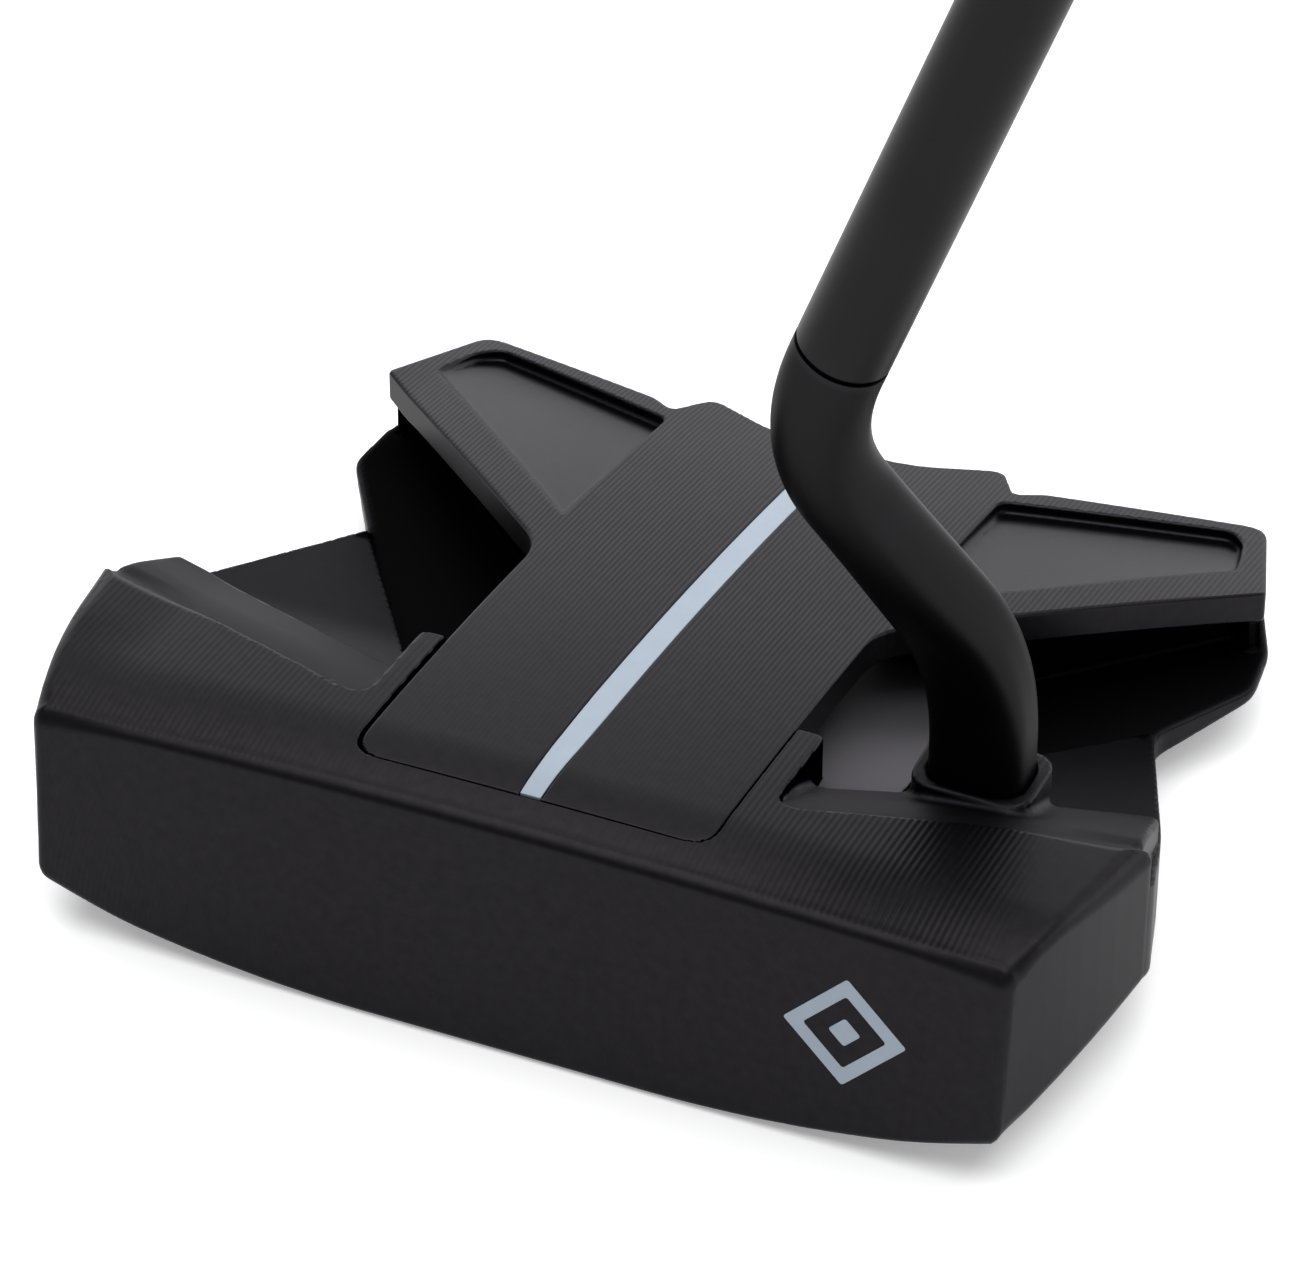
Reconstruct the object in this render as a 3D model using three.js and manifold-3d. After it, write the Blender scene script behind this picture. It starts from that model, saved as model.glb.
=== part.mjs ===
// Mallet putter: a machined head with a separate top plate, a bent neck, a steel shaft and a rubber grip.
// Millimetres. +X points to the heel, +Y to the back of the head, +Z up.
// The origin is the centre of the flat pad on the sole, where the head rests on the ground.
import * as THREE from 'three';
import { mergeVertices } from 'three/addons/utils/BufferGeometryUtils.js';
import Module from 'manifold-3d';

// Head: distances along y are measured from the top edge of the striking face.
const FACE_TO_ORIGIN = 20;
const FACE_HEIGHT = 27;
const LOFT = THREE.MathUtils.degToRad(3.5);
const FACE_HALF = 51.9;
const BAR_SWELL = [55.4, 14];
const BAR_REAR = [57.3, 26.6];
const BAR_INNER_Y = 13.8;
const WAIST = [44.8, 63.4];
const FOOT = [51.9, 75];
const BROW_LENGTH = 11;
const BROW_RISE = 1.88;
const CROWN_SLOPE = 0.0794;
const CROWN_CURVE = 0.000932;
const CROWN_SIDE_CURVE = 0.00047;
const PAD_HALF = 15;
const PAD_REAR = 26;
const SOLE_CURVE = 0.0037;
const SOLE_RELIEF = 0.012;
const DECK_TOP = 7;
const HEAD_DEPTH = 97.5;

// Top plate: a central spine and two wings.
const PLATE_THICKNESS = 3.7;
const SPINE_HALF = 18.9;
const SPINE_FRONT = 5;
const RIB_WIDTH = 2.8;
const RIB_REAR = 28;
const WING_ROOT_Y = 50;
const WING_TIP = [50.6, 81.2];
const WING_BACK = [45.6, 97];
const WING_FRONT_DEPTH = 0.25;
const WING_DEEPENING = 1.15;
const SEAM = 0.3;
const SIGHT_LINE_HALF = 1.33;
const SIGHT_LINE_FRONT = 5.3;
const SIGHT_LINE_REAR = 84;
const SIGHT_LINE_DEPTH = 0.5;

// Ramps behind the bar, side flanges and the sloping floor of the bay beside the neck.
const RAMP_START = [22, 15, 27.4];
const RAMP_SIDE_RISE = 0.09;
const RAMP_FALL = 0.514;
const FLANGE_START_Y = 37;
const FLANGE_START_TOP = 16;
const FLANGE_FALL = 0.314;
const FLANGE_OUTER = [54.2, 38];
const BAY_START_Y = 27;
const BAY_START_TOP = 20.8;
const BAY_FALL = 0.16;
const BAY_CURVE = 0.005;

// Neck, shaft and grip.
const LIE = THREE.MathUtils.degToRad(70);
const SHAFT_TIP = new THREE.Vector3(28.6, 12.4, 84.1);
const SHAFT_TIP_RADIUS = 4.7;
const SHAFT_TIP_BORE = 3.6;
const SHAFT_BUTT_RADIUS = 7.62;
const SHAFT_WALL = 0.9;
const SHAFT_LENGTH = 772;
const SHAFT_TAPER_START = 70;
const SHAFT_TAPER_END = 470;
const SPIGOT_RADIUS = 2.9;
const SPIGOT_LENGTH = 24;
const NECK_BASE = new THREE.Vector3(37.4, 31, 17);
const NECK_SEAT_TOP = 24.4;
const NECK_KNEE_Z = 38;
const NECK_ELBOW_Z = 73;
const NECK_BEND = 10;
const NECK_BASE_HALF = [5.05, 4.05];
const SEAT_HALF = [6.4, 5.4];
const GRIP_LENGTH = 267;
const GRIP_MOUTH_RADIUS = 10.4;
const GRIP_TOP_RADIUS = 14.6;
const GRIP_FLAT = 11.2;
const TAPE_THICKNESS = 0.2;
const FIT_GAP = 0.1;

// Fasteners and weights in the sole.
const PLATE_SCREW_PLACES = { front: [12.5, 13], rear: [15.4, 84] };
const PLATE_SCREW = { head: 3.6, headHeight: 2.6, shank: 2, socket: 1.4 };
const NECK_SCREW = { head: 4.2, headHeight: 3.2, shank: 2.5, socket: 1.8 };
const SCREW_CLEARANCE = 0.3;
const SCREW_RECESS = 3;
const THREAD_DEPTH = 2.6;
const DOWEL = { radius: 1.5, length: 4.4, place: [14, 23] };
const WEIGHT = { radius: 7, height: 9, socket: 2.4, socketDepth: 3.5, place: [38, 13] };
const MARK_CENTRE = [35.6, 14.4];
const MARK_HALF = 6.4;
const MARK_LINE = 2.1;
const MARK_DOT = 1.7;
const MARK_DEPTH = 0.5;

const wasm = await Module();
wasm.setup();

// ---- Joining and cutting -------------------------------------------------------------------------

function toSolid(geometry) {
  const bare = geometry.clone();
  bare.deleteAttribute('normal');
  bare.deleteAttribute('uv');
  const merged = mergeVertices(bare, 1e-5);
  return new wasm.Manifold(new wasm.Mesh({
    numProp: 3,
    vertProperties: new Float32Array(merged.attributes.position.array),
    triVerts: new Uint32Array(merged.index.array),
  }));
}

function toGeometry(solid) {
  const mesh = solid.getMesh();
  const geometry = new THREE.BufferGeometry();
  geometry.setAttribute('position', new THREE.BufferAttribute(new Float32Array(mesh.vertProperties), 3));
  geometry.setIndex(new THREE.BufferAttribute(new Uint32Array(mesh.triVerts), 1));
  geometry.computeVertexNormals();
  return geometry;
}

function join(solids) {
  return solids.reduce((whole, solid) => whole.add(solid));
}

// ---- Surfaces of the head --------------------------------------------------------------------------

// The top rises over the brow behind the face, then falls to the back in one long arc.
function topHeight(x, y) {
  const brow = Math.max(0, 1 - y / BROW_LENGTH);
  const fall = CROWN_SLOPE * y + CROWN_CURVE * y * y + CROWN_SIDE_CURVE * x * x;
  return FACE_HEIGHT + BROW_RISE * (1 - brow ** 2) - fall;
}

// The sole is flat at the middle and rises towards the toe, the heel and the back.
function soleHeight(x, y) {
  const side = Math.max(0, Math.abs(x) - PAD_HALF);
  return SOLE_CURVE * side * side + SOLE_RELIEF * Math.max(0, y - PAD_REAR);
}

function rampHeight(x, y) {
  const [startX, startY, startTop] = RAMP_START;
  return startTop + RAMP_SIDE_RISE * (Math.abs(x) - startX) - RAMP_FALL * (y - startY);
}

function flangeHeight(x, y) {
  return FLANGE_START_TOP - FLANGE_FALL * (y - FLANGE_START_Y);
}

function bayHeight(x, y) {
  const behind = Math.max(0, y - BAY_START_Y);
  return BAY_START_TOP - BAY_FALL * behind - BAY_CURVE * behind ** 2;
}

// A block between two height functions.
function block(lower, upper, columns = 1, rows = 1) {
  const width = 2 * (BAR_REAR[0] + 3);
  const start = -4;
  const depth = HEAD_DEPTH + 3 - start;
  const box = new THREE.BoxGeometry(width, depth, 2, columns, rows, 1);
  const place = box.attributes.position;
  for (let i = 0; i < place.count; i += 1) {
    const x = place.getX(i);
    const y = place.getY(i) + start + depth / 2;
    const height = place.getZ(i) > 0 ? upper(x, y) : lower(x, y);
    place.setXYZ(i, x, y, height);
  }
  return toSolid(box);
}

const wellBelow = () => -10;
const wellAbove = () => 60;

// A closed outline with rounded corners: each point is [x, y] or [x, y, corner radius].
function outline(points) {
  const shape = new THREE.Shape();
  points.forEach(([x, y, radius = 0], i) => {
    const corner = new THREE.Vector2(x, y);
    const before = new THREE.Vector2(...points[(i + points.length - 1) % points.length]);
    const after = new THREE.Vector2(...points[(i + 1) % points.length]);
    const start = before.sub(corner).setLength(radius).add(corner);
    const end = after.sub(corner).setLength(radius).add(corner);
    if (i === 0) shape.moveTo(start.x, start.y);
    else shape.lineTo(start.x, start.y);
    if (radius > 0) shape.quadraticCurveTo(corner.x, corner.y, end.x, end.y);
  });
  shape.closePath();
  return shape;
}

// Points of the heel half, given from front to back, joined to their mirror image.
function mirrored(points) {
  const other = points.map(([x, y, radius]) => [-x, y, radius]).reverse();
  return outline([...points, ...other]);
}

function onSide(points, side) {
  return outline(points.map(([x, y, radius]) => [side * x, y, radius]));
}

function prism(shape, low = -10, high = 60, curveSegments = 4) {
  const settings = { depth: high - low, bevelEnabled: false, curveSegments };
  const geometry = new THREE.ExtrudeGeometry(shape, settings);
  geometry.translate(0, 0, low);
  return toSolid(geometry);
}

function cylinder(radius, low, high, [x, y], sides = 24) {
  const geometry = new THREE.CylinderGeometry(radius, radius, high - low, sides);
  geometry.rotateX(Math.PI / 2);
  geometry.translate(x, y, (low + high) / 2);
  return toSolid(geometry);
}

// ---- Top plate -----------------------------------------------------------------------------------

function plateOutline(gap = 0) {
  return mirrored([
    [SPINE_HALF + gap, SPINE_FRONT - gap, 3],
    [SPINE_HALF + gap, WING_ROOT_Y, 3.5],
    [...WING_TIP, 0.6],
    [...WING_BACK, 2.5],
    [22.5, 90.2, 1],
    [19.8, 88, 1.2],
    [16.9, 93.3, 1.6],
    [8, 88.6, 3],
  ]);
}

// The plate is a slab of even thickness that follows the curved top.
function plateSlab(extra = 0) {
  const lower = (x, y) => topHeight(x, y) - PLATE_THICKNESS - extra;
  const upper = (x, y) => topHeight(x, y) + (extra > 0 ? 20 : 0);
  return block(lower, upper, 10, 20);
}

// The floor of a wing recess is shallow along the wing's front edge and deeper at the back.
function wingFloor(x, y) {
  const side = Math.abs(x);
  const front = 37.5 + 1.015 * side;
  const rear = 78.4 + 0.36 * side;
  const along = (y - front) / Math.max(rear - front, 4);
  const depth = WING_FRONT_DEPTH + WING_DEEPENING * THREE.MathUtils.clamp(along, 0, 1);
  return topHeight(x, y) - depth;
}

function wingRecess(side) {
  const points = [
    [SPINE_HALF + 0.4, 57.3, 0.4],
    [SPINE_HALF + 0.4, 85.4, 1.2],
    [42.6, 93.8, 1.2],
    [44.6, 91.6, 1],
    [46.3, 84.6, 0.8],
  ];
  return prism(onSide(points, side)).intersect(block(wingFloor, wellAbove, 10, 20));
}

function sightLineStrip(gap, lowerDepth, upperDepth) {
  const half = SIGHT_LINE_HALF + gap;
  const front = gap > 0 ? SPINE_FRONT - 2 : SIGHT_LINE_FRONT;
  const shape = mirrored([
    [half, front],
    [half, SIGHT_LINE_REAR + gap],
  ]);
  const lower = (x, y) => topHeight(x, y) - lowerDepth;
  const upper = (x, y) => topHeight(x, y) - upperDepth;
  return prism(shape).intersect(block(lower, upper, 1, 20));
}

function topPlate() {
  let plate = prism(plateOutline()).intersect(plateSlab());
  for (const side of [-1, 1]) {
    plate = plate.subtract(wingRecess(side));
    for (const place of Object.values(PLATE_SCREW_PLACES)) plate = plate.subtract(plateThread(side, place));
    plate = plate.subtract(dowelHole(side));
  }
  return plate.subtract(sightLineStrip(FIT_GAP, SIGHT_LINE_DEPTH + FIT_GAP, -5));
}

function plateUnderside([x, y]) {
  return topHeight(x, y) - PLATE_THICKNESS;
}

function plateThread(side, [x, y]) {
  const underside = plateUnderside([x, y]);
  return cylinder(PLATE_SCREW.shank + FIT_GAP, underside - 3, underside + THREAD_DEPTH, [side * x, y]);
}

function dowelHole(side) {
  const [x, y] = DOWEL.place;
  const middle = plateUnderside(DOWEL.place);
  const half = DOWEL.length / 2 + FIT_GAP;
  return cylinder(DOWEL.radius + FIT_GAP, middle - half, middle + half, [side * x, y], 16);
}

// ---- Head body -------------------------------------------------------------------------------------

function barOutline() {
  const ribOuter = SPINE_HALF + RIB_WIDTH + SEAM;
  return mirrored([
    [FACE_HALF, -4],
    [FACE_HALF, 0],
    [...BAR_SWELL, 8],
    [...BAR_REAR, 1.5],
    [ribOuter, BAR_INNER_Y, 3],
    [ribOuter, RIB_REAR, 1],
    [SPINE_HALF - 4, RIB_REAR],
  ]);
}

function bodyOutline() {
  return mirrored([
    [FACE_HALF, -4],
    [FACE_HALF, 0],
    [...BAR_SWELL, 8],
    [...BAR_REAR, 1.5],
    [...FLANGE_OUTER, 3],
    [...WAIST, 2],
    [...FOOT, 1.5],
    [51.2, 81.8, 1],
    [45.4, 95.8, 2],
    [22, 87.2],
    [16.6, 90.4, 1.5],
    [8, 86.4],
  ]);
}

function ramp(side) {
  const points = [
    [20, 12],
    [55, 23.6],
    [54.2, 26.6],
    [54.2, 37.4, 1.5],
    [24.4, 25.2],
    [20, 25.2],
  ];
  return prism(onSide(points, side)).intersect(block(wellBelow, rampHeight, 2, 1));
}

function flange(side) {
  const points = [
    [22, 15],
    [56.5, 24],
    [...BAR_REAR, 1.5],
    [...FLANGE_OUTER, 3],
    WAIST,
    [28.3, 36.4],
    [23, 28],
  ];
  return prism(onSide(points, side)).intersect(block(wellBelow, flangeHeight));
}

// The bay's floor reaches from under the spine to the neck's seat, on the heel side only.
function bay() {
  const shape = outline([
    [10, 12],
    [30, 12],
    [30, 36],
    [33, 66],
    [10, 66],
  ]);
  return prism(shape).intersect(block(wellBelow, bayHeight, 1, 20));
}

// A pod under each wing carries the plate and forms the foot.
function pod(side) {
  const points = [
    [10.5, 70, 2],
    [24, 62, 3],
    [47.2, 83, 1.5],
    [48.9, 80.9, 0.4],
    [50, 81.8, 0.6],
    [45, 95.4, 2],
    [22, 86.6],
    [16.6, 89.6, 1.5],
    [10.5, 86.6, 1.5],
  ];
  const underside = (x, y) => topHeight(x, y) - PLATE_THICKNESS - SEAM;
  return prism(onSide(points, side)).intersect(block(wellBelow, underside, 10, 20));
}

// The seat that grips the foot of the neck stands on the heel ramp.
function neckSeat() {
  const [halfX, halfY] = SEAT_HALF;
  const { x, y } = NECK_BASE;
  const points = [
    [x - halfX, y - halfY, 3],
    [x + halfX, y - halfY, 3],
    [x + halfX, y + halfY, 3],
    [x - halfX, y + halfY, 3],
  ];
  return prism(outline(points), -10, NECK_SEAT_TOP);
}

function screwHole(screw, [x, y], top) {
  const bottom = soleHeight(x, y);
  const clearance = cylinder(screw.shank + SCREW_CLEARANCE, bottom - 5, top, [x, y]);
  const recess = SCREW_RECESS + screw.headHeight + SCREW_CLEARANCE;
  const counterbore = cylinder(screw.head + SCREW_CLEARANCE, bottom - 5, bottom + recess, [x, y]);
  return clearance.add(counterbore);
}

function weightPocket(side) {
  const [x, y] = WEIGHT.place;
  const bottom = soleHeight(x, y);
  const top = bottom + WEIGHT.height + 1.2;
  return cylinder(WEIGHT.radius + SCREW_CLEARANCE, bottom - 6, top, [side * x, y], 32);
}

// The block that stands in front of the lofted face, for trimming it.
function faceCut() {
  const geometry = new THREE.BoxGeometry(160, 40, 160);
  geometry.translate(0, -20, 0);
  geometry.rotateX(-LOFT);
  geometry.translate(0, 0, FACE_HEIGHT);
  return toSolid(geometry);
}

function headBody() {
  const sides = [-1, 1];
  const outer = block(soleHeight, topHeight, 16, 20);
  let body = join([
    prism(barOutline()),
    prism(bodyOutline(), -10, DECK_TOP),
    bay(),
    neckSeat(),
    ...sides.map(ramp),
    ...sides.map(flange),
    ...sides.map(pod),
  ]).intersect(outer);
  body = body.subtract(faceCut());
  body = body.subtract(prism(plateOutline(SEAM)).intersect(plateSlab(SEAM)));
  for (const side of sides) {
    for (const [x, y] of Object.values(PLATE_SCREW_PLACES)) {
      body = body.subtract(screwHole(PLATE_SCREW, [side * x, y], plateUnderside([x, y]) + 5));
    }
    body = body.subtract(dowelHole(side)).subtract(weightPocket(side));
  }
  const seat = [NECK_BASE.x, NECK_BASE.y];
  body = body.subtract(screwHole(NECK_SCREW, seat, NECK_BASE.z + 1));
  body = body.subtract(neckSocket());
  return body.subtract(markPlace(toSolid(markFrame(FIT_GAP, 2))))
    .subtract(markPlace(toSolid(markDot(FIT_GAP, 2))));
}

// ---- Face mark: a plain lozenge with a dot, filled with paint ------------------------------------------

function lozenge(half, shape = new THREE.Shape()) {
  shape.moveTo(half, 0);
  shape.lineTo(0, half);
  shape.lineTo(-half, 0);
  shape.lineTo(0, -half);
  shape.closePath();
  return shape;
}

function markFrame(gap, stand) {
  const shape = lozenge(MARK_HALF + gap);
  shape.holes.push(lozenge(MARK_HALF - MARK_LINE - gap, new THREE.Path()));
  return markLayer(shape, gap, stand);
}

function markDot(gap, stand) {
  return markLayer(lozenge(MARK_DOT + gap), gap, stand);
}

function markLayer(shape, gap, stand) {
  const depth = MARK_DEPTH + gap + stand;
  const geometry = new THREE.ExtrudeGeometry(shape, { depth, bevelEnabled: false });
  geometry.translate(0, 0, -MARK_DEPTH - gap);
  return geometry;
}

// Lays a flat mark on the lofted face.
function markPlacement() {
  const [x, z] = MARK_CENTRE;
  const y = (z - FACE_HEIGHT) * Math.tan(LOFT);
  const turn = new THREE.Matrix4().makeRotationX(Math.PI / 2 - LOFT);
  return turn.setPosition(x, y, z);
}

function markPlace(solid) {
  return solid.transform(markPlacement().toArray());
}

// ---- Neck ------------------------------------------------------------------------------------------

const SHAFT_AXIS = new THREE.Vector3(Math.cos(LIE), 0, Math.sin(LIE));

// Up from the seat, across over the head, then into line with the shaft.
function neckPath() {
  const knee = NECK_BASE.clone().setZ(NECK_KNEE_Z);
  const elbow = SHAFT_TIP.clone().addScaledVector(SHAFT_AXIS, (NECK_ELBOW_Z - SHAFT_TIP.z) / SHAFT_AXIS.z);
  const along = elbow.clone().sub(knee).normalize();
  const up = new THREE.Vector3(0, 0, 1);
  const kneeStart = knee.clone().addScaledVector(up, -NECK_BEND);
  const kneeEnd = knee.clone().addScaledVector(along, NECK_BEND);
  const elbowStart = elbow.clone().addScaledVector(along, -NECK_BEND);
  const elbowEnd = elbow.clone().addScaledVector(SHAFT_AXIS, NECK_BEND);
  const path = new THREE.CurvePath();
  path.add(new THREE.LineCurve3(NECK_BASE, kneeStart));
  path.add(new THREE.QuadraticBezierCurve3(kneeStart, knee, kneeEnd));
  path.add(new THREE.LineCurve3(kneeEnd, elbowStart));
  path.add(new THREE.QuadraticBezierCurve3(elbowStart, elbow, elbowEnd));
  path.add(new THREE.LineCurve3(elbowEnd, SHAFT_TIP));
  return path;
}

// The section is a rounded rectangle at the foot and a circle at the shaft.
function neckSection(angle, t, gap) {
  const change = THREE.MathUtils.smoothstep(t, 0.15, 0.7);
  const power = THREE.MathUtils.lerp(3.6, 2, change);
  const halfX = THREE.MathUtils.lerp(NECK_BASE_HALF[0], SHAFT_TIP_RADIUS, change) + gap;
  const halfY = THREE.MathUtils.lerp(NECK_BASE_HALF[1], SHAFT_TIP_RADIUS, change) + gap;
  const c = Math.cos(angle);
  const s = Math.sin(angle);
  const reach = (Math.abs(c) ** power + Math.abs(s) ** power) ** (-1 / power);
  return [halfX * reach * c, halfY * reach * s];
}

// A cylinder bent along the path, with its section changed on the way.
function neckBar() {
  const path = neckPath();
  const sides = 20;
  const steps = 26;
  const geometry = new THREE.CylinderGeometry(1, 1, 1, sides, steps);
  const place = geometry.attributes.position;
  const worldX = new THREE.Vector3(1, 0, 0);
  for (let i = 0; i < place.count; i += 1) {
    const t = place.getY(i) + 0.5;
    const radius = Math.hypot(place.getX(i), place.getZ(i));
    const angle = Math.atan2(-place.getZ(i), place.getX(i));
    const centre = path.getPointAt(t);
    const along = path.getTangentAt(t);
    const across = worldX.clone().addScaledVector(along, -worldX.dot(along)).normalize();
    const back = along.clone().cross(across);
    const [u, v] = neckSection(angle, t, 0);
    centre.addScaledVector(across, radius * u).addScaledVector(back, radius * v);
    place.setXYZ(i, centre.x, centre.y, centre.z);
  }
  return toSolid(geometry);
}

function neckSocket() {
  const { x, y, z } = NECK_BASE;
  const shape = new THREE.Shape();
  const corners = 20;
  for (let i = 0; i < corners; i += 1) {
    const [u, v] = neckSection((2 * Math.PI * i) / corners, 0, SCREW_CLEARANCE);
    if (i === 0) shape.moveTo(x + u, y + v);
    else shape.lineTo(x + u, y + v);
  }
  shape.closePath();
  return prism(shape, z - SCREW_CLEARANCE, 60);
}

function onShaft(geometry) {
  geometry.rotateY(Math.PI / 2 - LIE);
  geometry.translate(SHAFT_TIP.x, SHAFT_TIP.y, SHAFT_TIP.z);
  return geometry;
}

function neck() {
  const spigot = new THREE.CylinderGeometry(SPIGOT_RADIUS, SPIGOT_RADIUS, SPIGOT_LENGTH + 4, 24);
  spigot.rotateX(Math.PI / 2);
  spigot.translate(0, 0, SPIGOT_LENGTH / 2 - 2);
  const thread = cylinder(NECK_SCREW.shank + FIT_GAP, 0, NECK_BASE.z + 9, [NECK_BASE.x, NECK_BASE.y]);
  return neckBar().add(toSolid(onShaft(spigot))).subtract(thread);
}

// ---- Turned pieces: shaft, bond, tape, grip and cap ------------------------------------------------------

// A tube from [distance along, outer radius, bore radius] stations.
function tube(stations, sides = 24) {
  const outer = stations.map(([along, radius]) => new THREE.Vector2(radius, along));
  const inner = stations.map(([along, , bore]) => new THREE.Vector2(bore, along)).reverse();
  const geometry = new THREE.LatheGeometry([...outer, ...inner, outer[0].clone()], sides);
  geometry.rotateX(Math.PI / 2);
  return geometry;
}

function shaft() {
  const buttBore = SHAFT_BUTT_RADIUS - SHAFT_WALL;
  return tube([
    [SEAM, SHAFT_TIP_RADIUS, SHAFT_TIP_BORE],
    [SHAFT_TAPER_START, SHAFT_TIP_RADIUS, SHAFT_TIP_BORE],
    [SHAFT_TAPER_END, SHAFT_BUTT_RADIUS, buttBore],
    [SHAFT_LENGTH, SHAFT_BUTT_RADIUS, buttBore],
  ]);
}

function bond() {
  return tube([
    [SEAM + 0.5, SHAFT_TIP_BORE - FIT_GAP, SPIGOT_RADIUS + FIT_GAP],
    [SPIGOT_LENGTH, SHAFT_TIP_BORE - FIT_GAP, SPIGOT_RADIUS + FIT_GAP],
  ]);
}

const GRIP_START = SHAFT_LENGTH - GRIP_LENGTH + 3;
const TAPE_BORE = SHAFT_BUTT_RADIUS + FIT_GAP;
const TAPE_OUTER = TAPE_BORE + TAPE_THICKNESS;
const GRIP_BORE = TAPE_OUTER + FIT_GAP;

function tape() {
  return tube([
    [GRIP_START + 4, TAPE_OUTER, TAPE_BORE],
    [SHAFT_LENGTH - 1, TAPE_OUTER, TAPE_BORE],
  ]);
}

// Widens smoothly to the top and has one flat side for the thumbs, which faces the toe.
function grip() {
  const stations = [];
  const steps = 14;
  for (let i = 0; i <= steps; i += 1) {
    const t = i / steps;
    const widen = THREE.MathUtils.smoothstep(t, -0.1, 0.8);
    const radius = THREE.MathUtils.lerp(GRIP_MOUTH_RADIUS, GRIP_TOP_RADIUS, widen);
    stations.push([GRIP_START + t * GRIP_LENGTH, radius, GRIP_BORE]);
  }
  const geometry = tube(stations, 32);
  const place = geometry.attributes.position;
  for (let i = 0; i < place.count; i += 1) {
    const outside = Math.hypot(place.getX(i), place.getY(i)) > GRIP_BORE + 0.5;
    const t = (place.getZ(i) - GRIP_START) / GRIP_LENGTH;
    const flat = THREE.MathUtils.lerp(GRIP_MOUTH_RADIUS - 0.9, GRIP_FLAT, Math.min(1, 1.6 * t));
    if (outside) place.setX(i, Math.max(place.getX(i), -flat));
  }
  return geometry;
}

// The cap closes the top of the grip, with a plug in its bore above the shaft.
function gripCap() {
  const top = GRIP_START + GRIP_LENGTH;
  const profile = [
    [0, top - 1.5],
    [6, top - 1.5],
    [6, top + SEAM],
    [13, top + SEAM],
    [13, top + 1.6],
    [11.6, top + 2.6],
    [0, top + 2.6],
  ];
  const points = profile.map(([radius, along]) => new THREE.Vector2(radius, along));
  const geometry = new THREE.LatheGeometry(points, 32);
  geometry.rotateX(Math.PI / 2);
  const place = geometry.attributes.position;
  for (let i = 0; i < place.count; i += 1) place.setX(i, Math.max(place.getX(i), 1 - GRIP_FLAT));
  return geometry;
}

// ---- Screws, dowels and weights --------------------------------------------------------------------------

function screw(size, [x, y], top) {
  const bottom = soleHeight(x, y) + SCREW_RECESS;
  const head = cylinder(size.head, bottom, bottom + size.headHeight, [x, y]);
  const shank = cylinder(size.shank, bottom + size.headHeight - 0.5, top, [x, y]);
  const socket = cylinder(size.socket, bottom - 1, bottom + size.headHeight * 0.65, [x, y], 6);
  return head.add(shank).subtract(socket);
}

function weight(side) {
  const [x, y] = WEIGHT.place;
  const bottom = soleHeight(x, y) + 0.9;
  const place = [side * x, y];
  const disc = cylinder(WEIGHT.radius, bottom, bottom + WEIGHT.height, place, 32);
  return disc.subtract(cylinder(WEIGHT.socket, bottom - 1, bottom + WEIGHT.socketDepth, place, 6));
}

function dowel(side) {
  const [x, y] = DOWEL.place;
  const middle = plateUnderside(DOWEL.place);
  return cylinder(DOWEL.radius, middle - DOWEL.length / 2, middle + DOWEL.length / 2, [side * x, y], 16);
}

// ---- Assembly --------------------------------------------------------------------------------------

const anodised = new THREE.MeshStandardMaterial({ color: 0x1c1b1e, roughness: 0.42, metalness: 0.8 });
const paint = new THREE.MeshStandardMaterial({ color: 0xc3d2e0, roughness: 0.5, metalness: 0 });
const blackSteel = new THREE.MeshStandardMaterial({ color: 0x141316, roughness: 0.38, metalness: 0.8 });
const bareSteel = new THREE.MeshStandardMaterial({ color: 0x8c8d90, roughness: 0.35, metalness: 1 });
const rubber = new THREE.MeshStandardMaterial({ color: 0x161616, roughness: 0.85, metalness: 0 });
const resin = new THREE.MeshStandardMaterial({ color: 0x9a8f78, roughness: 0.5, metalness: 0 });
const clothTape = new THREE.MeshStandardMaterial({ color: 0xb8b2a4, roughness: 0.9, metalness: 0 });

const putter = new THREE.Group();
const head = new THREE.Group();
head.position.y = -FACE_TO_ORIGIN;
putter.add(head);
const shaftLine = new THREE.Group();
shaftLine.position.copy(SHAFT_TIP);
shaftLine.rotation.y = Math.PI / 2 - LIE;
head.add(shaftLine);

function addPiece(group, name, geometry, material) {
  const mesh = new THREE.Mesh(geometry, material);
  mesh.name = name;
  group.add(mesh);
  return mesh;
}

addPiece(head, 'head_body', toGeometry(headBody()), anodised);
addPiece(head, 'top_plate', toGeometry(topPlate()), anodised);
addPiece(head, 'sight_line', toGeometry(sightLineStrip(0, SIGHT_LINE_DEPTH, 0.05)), paint);
addPiece(head, 'face_mark_frame', markFrame(0, -0.05), paint).applyMatrix4(markPlacement());
addPiece(head, 'face_mark_dot', markDot(0, -0.05), paint).applyMatrix4(markPlacement());
for (const [sideName, side] of [['toe', -1], ['heel', 1]]) {
  for (const [rowName, [x, y]] of Object.entries(PLATE_SCREW_PLACES)) {
    const top = plateUnderside([x, y]) + THREAD_DEPTH - SEAM;
    const geometry = toGeometry(screw(PLATE_SCREW, [side * x, y], top));
    addPiece(head, `plate_screw_${rowName}_${sideName}`, geometry, blackSteel);
  }
  addPiece(head, `plate_dowel_${sideName}`, toGeometry(dowel(side)), bareSteel);
  addPiece(head, `sole_weight_${sideName}`, toGeometry(weight(side)), bareSteel);
}
addPiece(head, 'neck', toGeometry(neck()), blackSteel);
const neckScrew = screw(NECK_SCREW, [NECK_BASE.x, NECK_BASE.y], NECK_BASE.z + 8);
addPiece(head, 'neck_screw', toGeometry(neckScrew), blackSteel);
addPiece(shaftLine, 'shaft', shaft(), blackSteel);
addPiece(shaftLine, 'shaft_bond', bond(), resin);
addPiece(shaftLine, 'grip_tape', tape(), clothTape);
addPiece(shaftLine, 'grip', grip(), rubber);
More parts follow.
